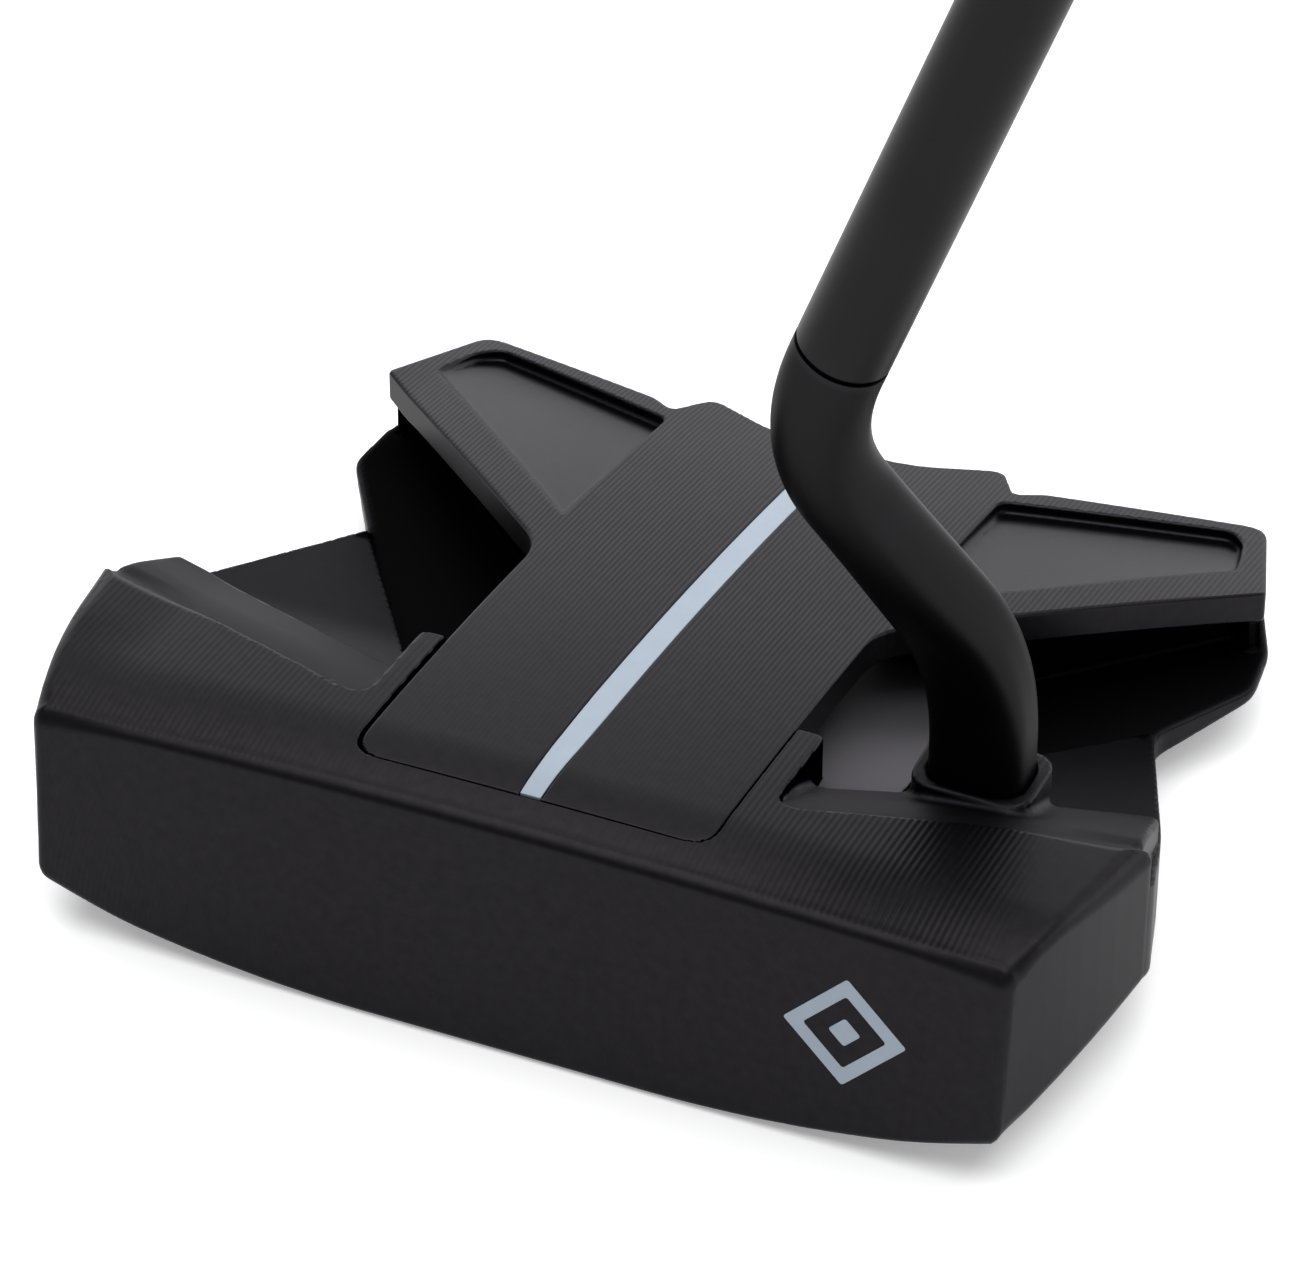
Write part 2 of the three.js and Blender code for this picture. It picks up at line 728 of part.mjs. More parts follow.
addPiece(shaftLine, 'grip_cap', gripCap(), rubber);

export default putter;
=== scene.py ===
"""Looks of the mallet putter: machined head, plate, neck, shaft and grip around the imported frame.

Blender works in metres. Shapes are worked out in millimetres in head coordinates, where y is
measured from the top edge of the striking face, and are placed in the row frame when meshed.
"""
import itertools
import math
from collections import namedtuple

import bpy
import numpy as np
from mathutils import Matrix, Vector


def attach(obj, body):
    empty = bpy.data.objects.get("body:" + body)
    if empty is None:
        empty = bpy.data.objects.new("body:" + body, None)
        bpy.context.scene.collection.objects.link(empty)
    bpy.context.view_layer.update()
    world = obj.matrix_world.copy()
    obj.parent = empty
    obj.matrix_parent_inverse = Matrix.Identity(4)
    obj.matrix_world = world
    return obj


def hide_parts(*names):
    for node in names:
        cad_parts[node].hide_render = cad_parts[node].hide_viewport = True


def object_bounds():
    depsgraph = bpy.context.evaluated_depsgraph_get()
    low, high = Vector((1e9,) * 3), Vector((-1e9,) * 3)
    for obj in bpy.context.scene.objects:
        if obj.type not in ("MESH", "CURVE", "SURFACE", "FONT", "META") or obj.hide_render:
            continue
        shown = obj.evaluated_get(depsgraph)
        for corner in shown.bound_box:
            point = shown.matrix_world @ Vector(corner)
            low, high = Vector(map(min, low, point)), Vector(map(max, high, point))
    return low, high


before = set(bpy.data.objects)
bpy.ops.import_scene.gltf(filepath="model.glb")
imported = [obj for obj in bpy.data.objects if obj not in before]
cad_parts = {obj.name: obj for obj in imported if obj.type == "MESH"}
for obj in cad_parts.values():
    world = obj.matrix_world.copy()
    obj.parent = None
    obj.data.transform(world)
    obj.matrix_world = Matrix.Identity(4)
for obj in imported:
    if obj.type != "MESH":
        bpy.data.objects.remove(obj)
cad_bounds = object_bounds()

MM = 0.001
FACE_TO_ORIGIN = 20.0
ORIGIN = np.array([0.0, -FACE_TO_ORIGIN, 0.0])

# Camera ---------------------------------------------------------------------------------------

# A long lens looks down at the head from the heel side of the face.
CAMERA_PLACE = (0.201587, -0.465243, 0.423777)
CAMERA_RIGHT = (0.920455, 0.390825, 0.004297)
CAMERA_UP = (-0.240102, 0.556737, 0.795233)
CAMERA_BACK = (0.308405, -0.733008, 0.606289)
CAMERA_LENS = 181.42


def add_camera():
    data = bpy.data.cameras.new("camera")
    data.lens = CAMERA_LENS
    data.sensor_width = 36.0
    data.clip_start = 0.05
    data.clip_end = 20.0
    camera = bpy.data.objects.new("camera", data)
    axes = Matrix((CAMERA_RIGHT, CAMERA_UP, CAMERA_BACK)).transposed()
    camera.matrix_world = Matrix.Translation(CAMERA_PLACE) @ axes.to_4x4()
    bpy.context.scene.collection.objects.link(camera)
    bpy.context.scene.camera = camera


# Distances to surfaces --------------------------------------------------------------------------


def round_max(a, b, radius):
    """What lies in both a and b, with their shared edge rounded."""
    over_a = np.maximum(radius + a, 0)
    over_b = np.maximum(radius + b, 0)
    return np.minimum(-radius, np.maximum(a, b)) + np.sqrt(over_a * over_a + over_b * over_b)


def round_min(a, b, radius):
    """What lies in a or in b, with a fillet where they meet."""
    return -round_max(-a, -b, radius)


def cut(a, b, radius):
    """What is left of a without b."""
    return round_max(a, -b, radius)


def smoothstep(value, low, high):
    t = np.clip((value - low) / (high - low), 0, 1)
    return t * t * (3 - 2 * t)


def rounded(points, steps=5):
    """Corner points (x, y, trim) as a polygon, each corner rounded over that trim length."""
    corners = [np.array(point[:2], float) for point in points]
    trims = [point[2] if len(point) > 2 else 0 for point in points]
    polygon = []
    for i, (corner, trim) in enumerate(zip(corners, trims)):
        if trim == 0:
            polygon.append(corner)
            continue
        before = corners[i - 1] - corner
        after = corners[(i + 1) % len(corners)] - corner
        start = corner + before * (trim / np.linalg.norm(before))
        end = corner + after * (trim / np.linalg.norm(after))
        for t in np.linspace(0, 1, steps + 1):
            polygon.append((1 - t) ** 2 * start + 2 * t * (1 - t) * corner + t * t * end)
    return np.array(polygon)


class Outline:
    """Signed distance in the plane to a polygon, negative inside."""

    def __init__(self, polygon):
        self.edges = list(zip(np.asarray(polygon), np.roll(polygon, -1, axis=0)))

    def __call__(self, x, y):
        nearest = np.full(np.broadcast(x, y).shape, 1e9)
        inside = np.zeros(nearest.shape, bool)
        for (ax, ay), (bx, by) in self.edges:
            edge_x, edge_y = bx - ax, by - ay
            from_x, from_y = x - ax, y - ay
            t = np.clip((from_x * edge_x + from_y * edge_y) / (edge_x**2 + edge_y**2), 0, 1)
            off_x, off_y = from_x - edge_x * t, from_y - edge_y * t
            np.minimum(nearest, off_x * off_x + off_y * off_y, out=nearest)
            if ay != by:
                inside ^= ((ay > y) != (by > y)) & (x < edge_x * (y - ay) / edge_y + ax)
        return np.where(inside, -1, 1) * np.sqrt(nearest)


def half_outline(points):
    """The heel half of an outline that is mirrored in x, carried well past the middle."""
    return Outline(rounded([*points, (-40, points[-1][1]), (-40, points[0][1])]))


def drum(x, y, z, centre, radius, low, high):
    """A vertical cylinder."""
    side = np.sqrt((x - centre[0]) ** 2 + (y - centre[1]) ** 2) - radius
    return np.maximum(side, np.maximum(low - z, z - high))


# Surfaces of the head ---------------------------------------------------------------------------

FACE_HEIGHT = 27.0
LOFT = math.radians(3.5)
BROW_LENGTH = 11.0
BROW_RISE = 1.88
CROWN_SLOPE = 0.0794
CROWN_CURVE = 0.000932
CROWN_SIDE_CURVE = 0.00047
PAD_HALF = 15.0
PAD_REAR = 26.0
SOLE_CURVE = 0.0037
SOLE_RELIEF = 0.012
DECK_TOP = 7.0

PLATE_THICKNESS = 3.7
SPINE_HALF = 18.9
RIB_OUTER = 22.0
RIB_REAR = 28.0
SEAM = 0.3
# The plate lies a little closer to the heel rib than to the toe rib.
POCKET_SHIFT = 0.16
WING_FRONT_DEPTH = 0.25
WING_DEEPENING = 1.15
LINE_FRONT = 5.3
LINE_REAR = 84.0
LINE_DEPTH = 0.5

# A plane or a curved floor falls from a start height. Its cosine turns heights into distances.
RAMP_START_Y, RAMP_START_TOP, RAMP_FALL = 15.0, 27.4, 0.514
RAMP_SIDE_RISE = 0.09
RAMP_COSINE = 0.886
FLANGE_START_Y, FLANGE_START_TOP, FLANGE_FALL = 37.0, 16.0, 0.314
FLANGE_COSINE = 0.954
BAY_START_Y, BAY_START_TOP, BAY_FALL = 27.0, 20.8, 0.16
BAY_CURVE = 0.005
BAY_COSINE = 0.97

Screw = namedtuple("Screw", "head head_height shank socket")
PLATE_SCREW = Screw(head=3.6, head_height=2.6, shank=2.0, socket=1.4)
NECK_SCREW = Screw(head=4.2, head_height=3.2, shank=2.5, socket=1.8)
NECK_SCREW_TOP = 25.0
SCREW_PLACES = {"front": (12.5, 13.0), "rear": (15.4, 84.0)}
SCREW_RECESS = 3.0
THREAD_REACH = 2.3
CLEARANCE = 0.3
DOWEL_PLACE = (14.0, 23.0)
DOWEL_HOLE = 1.6
DOWEL_REACH = 2.3
WEIGHT_PLACE = (38.0, 13.0)
WEIGHT_RADIUS = 7.0
WEIGHT_HEIGHT = 9.0
WEIGHT_RECESS = 0.9

NECK_PLACE = (37.4, 31.0)
NECK_FOOT_HALF = (5.05, 4.05)
NECK_FOOT_POWER = 3.6
SEAT_HALF = (6.4, 5.0)
SEAT_TOP = 24.4
SOCKET_GAP = 0.1
SOCKET_FLOOR = 16.7
TIP_RADIUS = 4.7
# A height above every part of the head, for holes that are open at the top.
ABOVE = 40.0
# A height below the plate, measured from the crown.
BELOW_PLATE = -8.0


def toe_flare(x, y):
    """The outer toe end of the bar stands a little higher than the rest."""
    return 1.0 * smoothstep(-x, 45, 57) * smoothstep(y, 3, 18)


def top_height(x, y):
    """The top rises over the brow behind the face, then falls to the back in one long arc."""
    brow = np.maximum(0, 1 - y / BROW_LENGTH)
    bead = 0.13 * np.exp(-(((y - 1.1) / 0.5) ** 2))
    fall = CROWN_SLOPE * y + CROWN_CURVE * y * y + CROWN_SIDE_CURVE * x * x
    return FACE_HEIGHT + BROW_RISE * (1 - brow**2) + bead - fall + toe_flare(x, y)


def sole_height(x, y):
    """The sole is flat across the middle and rises to the toe, the heel and the back."""
    side = np.maximum(0, np.abs(x) - PAD_HALF)
    return SOLE_CURVE * side * side + SOLE_RELIEF * np.maximum(0, y - PAD_REAR)


def ramp_height(x, y):
    outward = RAMP_SIDE_RISE * (np.abs(x) - RIB_OUTER)
    return RAMP_START_TOP + outward - RAMP_FALL * (y - RAMP_START_Y) + toe_flare(x, y)


def flange_height(y):
    return FLANGE_START_TOP - FLANGE_FALL * (y - FLANGE_START_Y)


def bay_height(y):
    behind = np.maximum(0, y - BAY_START_Y)
    return BAY_START_TOP - BAY_FALL * behind - BAY_CURVE * behind * behind


def plate_outline(gap):
    """The spine and the wings. A gap widens the spine, which makes the outline of the pocket."""
    half = SPINE_HALF + gap
    return half_outline([
        (half, 5 - 0.1 * gap, 3), (half, 50, 3.5), (50.6, 81.2, 0.6), (45.6, 97, 2.5),
        (22.5, 90.2, 1), (19.8, 88, 1.2), (16.9, 93.3, 1.6), (8, 88.6, 3),
    ])


PLATE = plate_outline(0)
POCKET = plate_outline(SEAM)
WING_RECESS = Outline(rounded([
    (19.3, 57.3, 0.4), (19.3, 85.4, 1.2), (42.6, 93.8, 1.2), (44.6, 91.6, 1), (46.3, 84.6, 0.8),
]))
BAR = half_outline([
    (51.9, -6), (51.9, 0), (55.4, 14, 8), (57.3, 26.6, 1.5),
    (RIB_OUTER, 13.8, 3), (RIB_OUTER, RIB_REAR, 1), (14.9, RIB_REAR),
])
DECK = half_outline([
    (51.9, -6), (51.9, 0), (55.4, 14, 8), (57.3, 26.6, 1.5), (54.2, 38, 3), (44.8, 63.4, 2),
    (51.9, 75, 1.5), (51.2, 81.8, 1), (45.4, 95.8, 2), (22, 87.2), (16.6, 90.4, 1.5), (8, 86.4),
])
TOE_RAMP = half_outline([
    (20, 12), (56, 24), (55.8, 27), (54.2, 37.4, 1.5),
    (24.6, 25.2, 1), (RIB_OUTER, 25.2, 1.3), (RIB_OUTER, RIB_REAR),
])
HEEL_RAMP = half_outline([
    (20, 12), (56, 24), (55.8, 27), (54.2, 37.4, 1.5),
    (31.5, 28, 1), (22.3, 21.9, 3.4), (20.5, 27.5),
])
FLANGE = Outline(rounded([
    (22, 15), (56.5, 24), (57.3, 26.6, 1.5), (54.2, 38, 3), (44.8, 63.4), (28.3, 36.4), (23, 28),
]))
BAY = Outline([(10, 12), (10, 66), (28, 66), (30, 36), (30, 12)])
POD = Outline(rounded([
    (10.5, 70, 2), (24, 62, 3), (47.2, 83, 1.5), (48.9, 80.9, 0.4), (50, 81.8, 0.6), (45, 95.4, 2),
    (22, 86.6), (16.6, 89.6, 1.5), (10.5, 86.6, 1.5),
]))
SEAT = Outline(rounded([
    (NECK_PLACE[0] + i * SEAT_HALF[0], NECK_PLACE[1] + j * SEAT_HALF[1], 3)
    for i, j in [(-1, -1), (1, -1), (1, 1), (-1, 1)]
]))


def neck_section(angle, t, gap=0.0):
    """The neck's section: a rounded rectangle at the foot and a circle at the shaft.

    t is the share of the neck's length. Higher powers make squarer sections.
    """
    change = smoothstep(t, 0.15, 0.7)
    power = NECK_FOOT_POWER + (2 - NECK_FOOT_POWER) * change
    half_x = NECK_FOOT_HALF[0] + (TIP_RADIUS - NECK_FOOT_HALF[0]) * change + gap
    half_y = NECK_FOOT_HALF[1] + (TIP_RADIUS - NECK_FOOT_HALF[1]) * change + gap
    c, s = np.cos(angle), np.sin(angle)
    reach = (np.abs(c) ** power + np.abs(s) ** power) ** (-1 / power)
    return half_x * reach * c, half_y * reach * s


NECK_SOCKET = Outline(
    np.array(NECK_PLACE) + np.column_stack(
        neck_section(np.linspace(0, 2 * math.pi, 40, endpoint=False), 0.0, SOCKET_GAP)
    )
)


def sole_hole(x, y, z, centre, screw, top):
    """A screw's hole, with a counterbore from the sole."""
    bottom = sole_height(*centre)
    shaft = drum(x, y, z, centre, screw.shank + CLEARANCE, bottom - 5, top)
    bore_top = bottom + SCREW_RECESS + screw.head_height + CLEARANCE
    bore = drum(x, y, z, centre, screw.head + CLEARANCE, bottom - 5, bore_top)
    return np.minimum(shaft, bore)


def bar_and_ramps(x, y, z, crown):
    """The bar with its two ribs, and behind it the ramps and the neck's seat."""
    ax = np.abs(x)
    rim = 0.45 + np.where(x > 0, 0.25, 1.0) * smoothstep(ax, 49, 54)
    ramp = np.where(x > 0, HEEL_RAMP(ax, y), TOE_RAMP(ax, y))
    ramp = round_max(ramp, (z - ramp_height(x, y)) * RAMP_COSINE, rim)
    ramp = round_max(ramp, crown, 2)
    seat = round_max(SEAT(x, y), z - SEAT_TOP, 0.45)
    fillet = np.where(x > 0, 1.1, 0.8)
    beside_rib = smoothstep(y, 16, 19.5) * (1 - smoothstep(ax, 25.5, 28.5))
    return round_min(BAR(ax, y), round_min(ramp, seat, 1.1), 0.35 + fillet * beside_rib)


def low_parts(x, y, z, crown):
    """The bay's floor, the flanges, the deck and the pods under the wings."""
    ax = np.abs(x)
    bay = round_max(BAY(x, y), (z - bay_height(y)) * BAY_COSINE, 0.25)
    flange = round_max(FLANGE(ax, y), (z - flange_height(y)) * FLANGE_COSINE, 0.3)
    pod = round_max(POD(ax, y), crown + PLATE_THICKNESS + SEAM, 0.3)
    deck = round_max(DECK(ax, y), z - DECK_TOP, 0.35)
    return np.minimum(np.minimum(bay, flange), round_min(deck, pod, 0.4))


def hollows(x, y, z, crown):
    """Each hollow of the head's body, with the rounding of its edge."""
    ax = np.abs(x)
    pocket = POCKET(np.abs(x + POCKET_SHIFT), y)
    yield (
        round_max(pocket, -(crown + PLATE_THICKNESS + SEAM), 0.3),
        0.03 + 0.13 * smoothstep(y, 5.5, 8),
    )
    for centre in SCREW_PLACES.values():
        yield sole_hole(ax, y, z, centre, PLATE_SCREW, ABOVE), 0.2
    bottom = sole_height(*WEIGHT_PLACE)
    top = bottom + WEIGHT_RECESS + WEIGHT_HEIGHT + CLEARANCE
    yield drum(ax, y, z, WEIGHT_PLACE, WEIGHT_RADIUS + CLEARANCE, bottom - 6, top), 0.25
    dowel_bottom = top_height(*DOWEL_PLACE) - PLATE_THICKNESS - DOWEL_REACH
    yield drum(ax, y, z, DOWEL_PLACE, DOWEL_HOLE, dowel_bottom, ABOVE), 0.1
    yield sole_hole(x, y, z, NECK_PLACE, NECK_SCREW, SOCKET_FLOOR + 1.3), 0.2
    yield np.maximum(NECK_SOCKET(x, y), SOCKET_FLOOR - z), 0.3


def body_field(x, y, z):
    """The head's body: its parts joined, trimmed by face, crown and sole, and hollowed."""
    ax = np.abs(x)
    crown = z - top_height(x, y)
    body = np.minimum(bar_and_ramps(x, y, z, crown), low_parts(x, y, z, crown))
    end = smoothstep(ax, 40, 56) * (1 - smoothstep(y, 25, 29))
    front = 1 - smoothstep(y, 1.2, 5)
    face = ((z - FACE_HEIGHT) * math.tan(LOFT) - y) * math.cos(LOFT)
    body = round_max(body, face, 0.5 + 0.7 * end)
    body = round_max(body, crown, 0.35 + 0.5 * front + end * (1.2 + smoothstep(y, 8, 24)))
    body = round_max(body, sole_height(x, y) - z, 0.6 + 1.6 * end + 0.4 * front)
    for hollow, rounding in hollows(x, y, z, crown):
        body = cut(body, hollow, rounding)
    return body


def wing_depth(x, y):
    """The recess is shallow along the wing's front edge and deeper at the back."""
    front = 37.5 + 1.015 * x
    rear = 78.4 + 0.36 * x
    share = np.clip((y - front) / np.maximum(rear - front, 4), 0, 1)
    return WING_FRONT_DEPTH + WING_DEEPENING * share


def line_half(y):
    """Half the width of the sight line, which narrows towards the face."""
    return 1.08 + 0.32 * smoothstep(y, 2, 23)


def plate_field(x, y, w):
    """The top plate, where w is the height above the curved top."""
    ax = np.abs(x)
    outline = PLATE(ax, y)
    rounding = 0.05 + 0.13 * smoothstep(y, 5.5, 8) + 0.15 * smoothstep(ax, 20, 22)
    plate = round_max(outline, w, rounding)
    plate = round_max(plate, -PLATE_THICKNESS - w, 0.3)
    recess = round_max(WING_RECESS(ax, y), -w - wing_depth(ax, y), 0.6)
    plate = cut(plate, recess, 0.28)
    ends = np.maximum(3 - y, y - LINE_REAR - 0.1)
    groove = np.maximum(np.maximum(ax - line_half(y), -w - LINE_DEPTH - 0.1), ends)
    plate = cut(plate, groove, 0.08)
    thread_top = THREAD_REACH + CLEARANCE - PLATE_THICKNESS
    for centre in SCREW_PLACES.values():
        hole = drum(ax, y, w, centre, PLATE_SCREW.shank + 0.1, BELOW_PLATE, thread_top)
        plate = cut(plate, hole, 0.1)
    dowel_top = DOWEL_REACH - PLATE_THICKNESS
    return cut(plate, drum(ax, y, w, DOWEL_PLACE, DOWEL_HOLE, BELOW_PLATE, dowel_top), 0.1)


def line_field(x, y, w):
    """The paint of the sight line, in the same coordinates as the plate."""
    ends = np.maximum(LINE_FRONT - y, y - LINE_REAR)
    across = round_max(np.abs(x) - line_half(y), ends, 0.12)
    return round_max(across, np.maximum(w + 0.03, -LINE_DEPTH - w), 0.06)


# Meshes from distances --------------------------------------------------------------------------


def slope(field, points, step=1e-3):
    """The field's values at the points, and its gradient."""
    value = field(*points.T)
    rises = []
    for axis in range(3):
        moved = points.copy()
        moved[:, axis] += step
        rises.append((field(*moved.T) - value) / step)
    return value, np.column_stack(rises)


def ticks(*stretches):
    """Grid lines along one axis. Each stretch is (start, end, pitch)."""
    lines = [
        np.linspace(start, end, round((end - start) / pitch), endpoint=False)
        for start, end, pitch in stretches
    ]
    return np.concatenate([*lines, [stretches[-1][1]]])


def cell_points(values, cells, corners):
    """A point in each cell, in grid steps, in the middle of where its edges cross the surface."""
    total = np.zeros((len(cells), 3))
    crossings = np.zeros(len(cells))
    for start, end in itertools.combinations(corners, 2):
        if sum(np.abs(np.subtract(start, end))) != 1:
            continue
        first = values[tuple((cells + start).T)]
        second = values[tuple((cells + end).T)]
        crosses = (first < 0) != (second < 0)
        t = np.where(crosses, first / np.where(crosses, first - second, 1), 0)
        total += crosses[:, None] * (np.array(start) + t[:, None] * np.subtract(end, start))
        crossings += crosses
    return cells + total / crossings[:, None]


def cell_quads(inside, number):
    """A quad for each grid edge that crosses the surface, between the four cells around it."""
    quads = []
    for axis in range(3):
        u, v = (axis + 1) % 3, (axis + 2) % 3
        ahead = np.zeros(3, int)
        ahead[axis] = 1
        here = inside[tuple(slice(0, inside.shape[i] - ahead[i]) for i in range(3))]
        there = inside[tuple(slice(ahead[i], inside.shape[i]) for i in range(3))]
        edges = np.argwhere(here != there)
        leaving = here[tuple(edges.T)]
        ring = []
        for du, dv in [(-1, -1), (0, -1), (0, 0), (-1, 0)]:
            cell = edges.copy()
            cell[:, u] += du
            cell[:, v] += dv
            ring.append(number[tuple(cell.T)])
        ring = np.column_stack(ring)
        ring[~leaving] = ring[~leaving][:, ::-1]
        quads.append(ring)
    return np.concatenate(quads)


def skin(field, x, y, z, turns=3):
    """The surface where the field is zero, as points, quads and normals, from a grid of lines."""
    lines = (x, y, z)
    pitch = max(np.diff(line).max() for line in lines)
    values = field(x[:, None, None], y[None, :, None], z[None, None, :])
    inside = values < 0
    corners = list(itertools.product((0, 1), repeat=3))
    nx, ny, nz = (len(line) - 1 for line in lines)
    near = [inside[i:nx + i, j:ny + j, k:nz + k] for i, j, k in corners]
    active = np.logical_or.reduce(near) & ~np.logical_and.reduce(near)
    number = np.full(active.shape, -1)
    number[active] = np.arange(active.sum())
    steps = cell_points(values, np.argwhere(active), corners)
    points = np.column_stack([
        np.interp(steps[:, i], np.arange(len(line)), line) for i, line in enumerate(lines)
    ])
    for _ in range(turns):
        value, rise = slope(field, points)
        move = value / np.maximum((rise * rise).sum(1), 0.25)
        move = np.clip(move, -pitch / 2, pitch / 2)
        points = points - move[:, None] * rise
    rise = slope(field, points)[1]
    normals = rise / np.linalg.norm(rise, axis=1)[:, None]
    return points, cell_quads(inside, number), normals


def make_piece(name, points, faces, material, replaced, normals=None, masks=None):
    """A mesh object from points in millimetres in the row frame, riding on the root body."""
    mesh = bpy.data.meshes.new(name)
    mesh.from_pydata((np.asarray(points) * MM).tolist(), [], [list(face) for face in faces])
    mesh.polygons.foreach_set("use_smooth", [True] * len(mesh.polygons))
    if normals is None:
        mesh.set_sharp_from_angle(angle=math.radians(32))
    else:
        mesh.normals_split_custom_set_from_vertices(normals.tolist())
    for mask, values in (masks or {}).items():
        mesh.attributes.new(mask, "FLOAT", "POINT").data.foreach_set("value", values)
    mesh.materials.append(material)
    piece = bpy.data.objects.new(name, mesh)
    bpy.context.scene.collection.objects.link(piece)
    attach(piece, "root")
    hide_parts(*replaced)
    return piece


def unshear(points, normals):
    """Points and normals from the plate's coordinates to the head's."""
    x, y, w = points.T
    step = 1e-3
    top = top_height(x, y)
    rise_x = (top_height(x + step, y) - top) / step
    rise_y = (top_height(x, y + step) - top) / step
    normals = normals.copy()
    normals[:, 0] -= normals[:, 2] * rise_x
    normals[:, 1] -= normals[:, 2] * rise_y
    normals /= np.linalg.norm(normals, axis=1)[:, None]
    return np.column_stack([x, y, w + top]), normals


def crown_mask(points, normals):
    """1 on the milled top surface and 0 elsewhere."""
    above = points[:, 2] - top_height(points[:, 0], points[:, 1])
    return ((above > -0.06) & (normals[:, 2] > 0.9)).astype(np.float32)


def line_mask(points, normals):
    """How strongly the milled lines show: fully at the heel and the back, faintly at the front."""
    x, y = points[:, 0], points[:, 1]
    bar = 0.3 + 0.7 * smoothstep(x, 8, 28) + 0.35 * smoothstep(-x, 16, 34)
    bar = bar * (1 - smoothstep(x, 43, 52))
    plate = 0.15 + 0.85 * smoothstep(y + 0.4 * x, 14, 52)
    on_plate = PLATE(np.abs(x), y) < 0.15
    return crown_mask(points, normals) * np.where(on_plate, plate, bar)


def painted_shade_mask(points, normals):
    """Painted shade: how far a surface is darkened for lying in the shade of the wings, the neck and
    the spine's ribs.
    """
    x, y, z = points.T
    ax = np.abs(x)
    within = smoothstep(-DECK(ax, y), 0.2, 0.9)
    wall = 1 - smoothstep(normals[:, 2], 0.3, 0.8)
    low = smoothstep(z, 4.5, 6) * (1 - smoothstep(z, DECK_TOP + 1.2, DECK_TOP + 2))
    deck = within * low * smoothstep(y, 36, 40)
    pod = within * wall * smoothstep(y, 57, 60)
    rib = wall * smoothstep(-DECK(ax, y), 4, 6) * smoothstep(y, 13, 15) * (1 - smoothstep(ax, 27, 29))
    flange = 0.25 * smoothstep(y, 32, 40) * smoothstep(-FLANGE(ax, y), -0.5, 0.5)
    rib = rib * (z > DECK_TOP)
    seen_from_above = smoothstep(normals[:, 2], -0.6, -0.2)
    return seen_from_above * np.max([deck, pod, rib, flange], axis=0)


def bay_highlight_mask(points, normals):
    """Painted highlight: 1 on the bay's floor, which is made much brighter than the rest, and 0
    elsewhere.
    """
    x, y, z = points.T
    floor = (BAY(x, y) < 0) & (np.abs(z - bay_height(y)) < 0.3) & (y > 22)
    return (floor & (normals[:, 2] > 0.8)).astype(np.float32)


def blasted_mask(points, normals):
    """1 on the blasted floors below the crown, behind the bar, and 0 elsewhere."""
    below = points[:, 2] < top_height(points[:, 0], points[:, 1]) - 0.25
    return (below & (normals[:, 2] > 0.8) & (points[:, 1] > 14)).astype(np.float32)


def face_mask(points, normals):
    """1 on the striking face and 0 elsewhere."""
    return ((normals[:, 1] < -0.97) & (points[:, 1] < 0.5)).astype(np.float32)


# Materials ---------------------------------------------------------------------------------------


class Nodes:
    """Short forms for building a node tree."""

    def __init__(self, name):
        self.material = bpy.data.materials.new(name)
        self.material.use_nodes = True
        self.tree = self.material.node_tree
        self.shader = self.tree.nodes["Principled BSDF"]
        self.place = self.add("ShaderNodeTexCoord").outputs["Object"]

    def add(self, kind, **settings):
        node = self.tree.nodes.new(kind)
        for key, value in settings.items():
            setattr(node, key, value)
        return node

    def link(self, source, target):
        self.tree.links.new(source, target)

    def feed(self, node, inputs):
        for key, value in inputs.items():
            if isinstance(value, bpy.types.NodeSocket):
                self.link(value, node.inputs[key])
            else:
                node.inputs[key].default_value = value

    def math(self, operation, *values):
        node = self.add("ShaderNodeMath", operation=operation)
        self.feed(node, dict(enumerate(values)))
        return node.outputs[0]

    def mix(self, amount, low, high):
        """low + amount * (high - low)"""
        node = self.add("ShaderNodeMix", data_type="FLOAT")
        self.feed(node, {0: amount, 2: low, 3: high})
        return node.outputs[0]

    def noise(self, scale, detail=2.0, roughness=0.5):
        node = self.add("ShaderNodeTexNoise")
        inputs = {"Vector": self.place, "Scale": scale, "Detail": detail, "Roughness": roughness}
        self.feed(node, inputs)
        return node.outputs["Fac"]

    def attribute(self, name):
        return self.add("ShaderNodeAttribute", attribute_name=name).outputs["Fac"]

    def axes(self):
        node = self.add("ShaderNodeSeparateXYZ")
        self.link(self.place, node.inputs[0])
        return node.outputs

    def ramp(self, value, low, high):
        """0 at low, 1 at high and straight between them."""
        node = self.add("ShaderNodeMapRange")
        self.feed(node, {"Value": value, "From Min": low, "From Max": high})
        return node.outputs[0]

    def edges(self):
        """Rises from 0 to 1 on sharply convex edges."""
        return self.ramp(self.add("ShaderNodeNewGeometry").outputs["Pointiness"], 0.525, 0.575)

    def colour(self, amount, low, high):
        node = self.add("ShaderNodeMix", data_type="RGBA")
        self.feed(node, {0: amount, 6: (*low, 1), 7: (*high, 1)})
        return node.outputs[2]

    def blend(self, amount, base, colour):
        """A colour of the tree, turned towards another one."""
        node = self.add("ShaderNodeMix", data_type="RGBA")
        self.feed(node, {0: amount, 6: base, 7: (*colour, 1)})
        return node.outputs[2]

    def bump(self, height, distance):
        node = self.add("ShaderNodeBump")
        self.feed(node, {"Height": height, "Distance": distance, "Strength": 1.0})
        return node.outputs[0]

    def finish(self, **sockets):
        self.feed(self.shader, {key.replace("_", " "): value for key, value in sockets.items()})
        return self.material


def stripes(nodes, value, pitch):
    """A wave along a value in metres, from -1 to 1."""
    return nodes.math("SINE", nodes.math("MULTIPLY", value, 2 * math.pi / pitch))


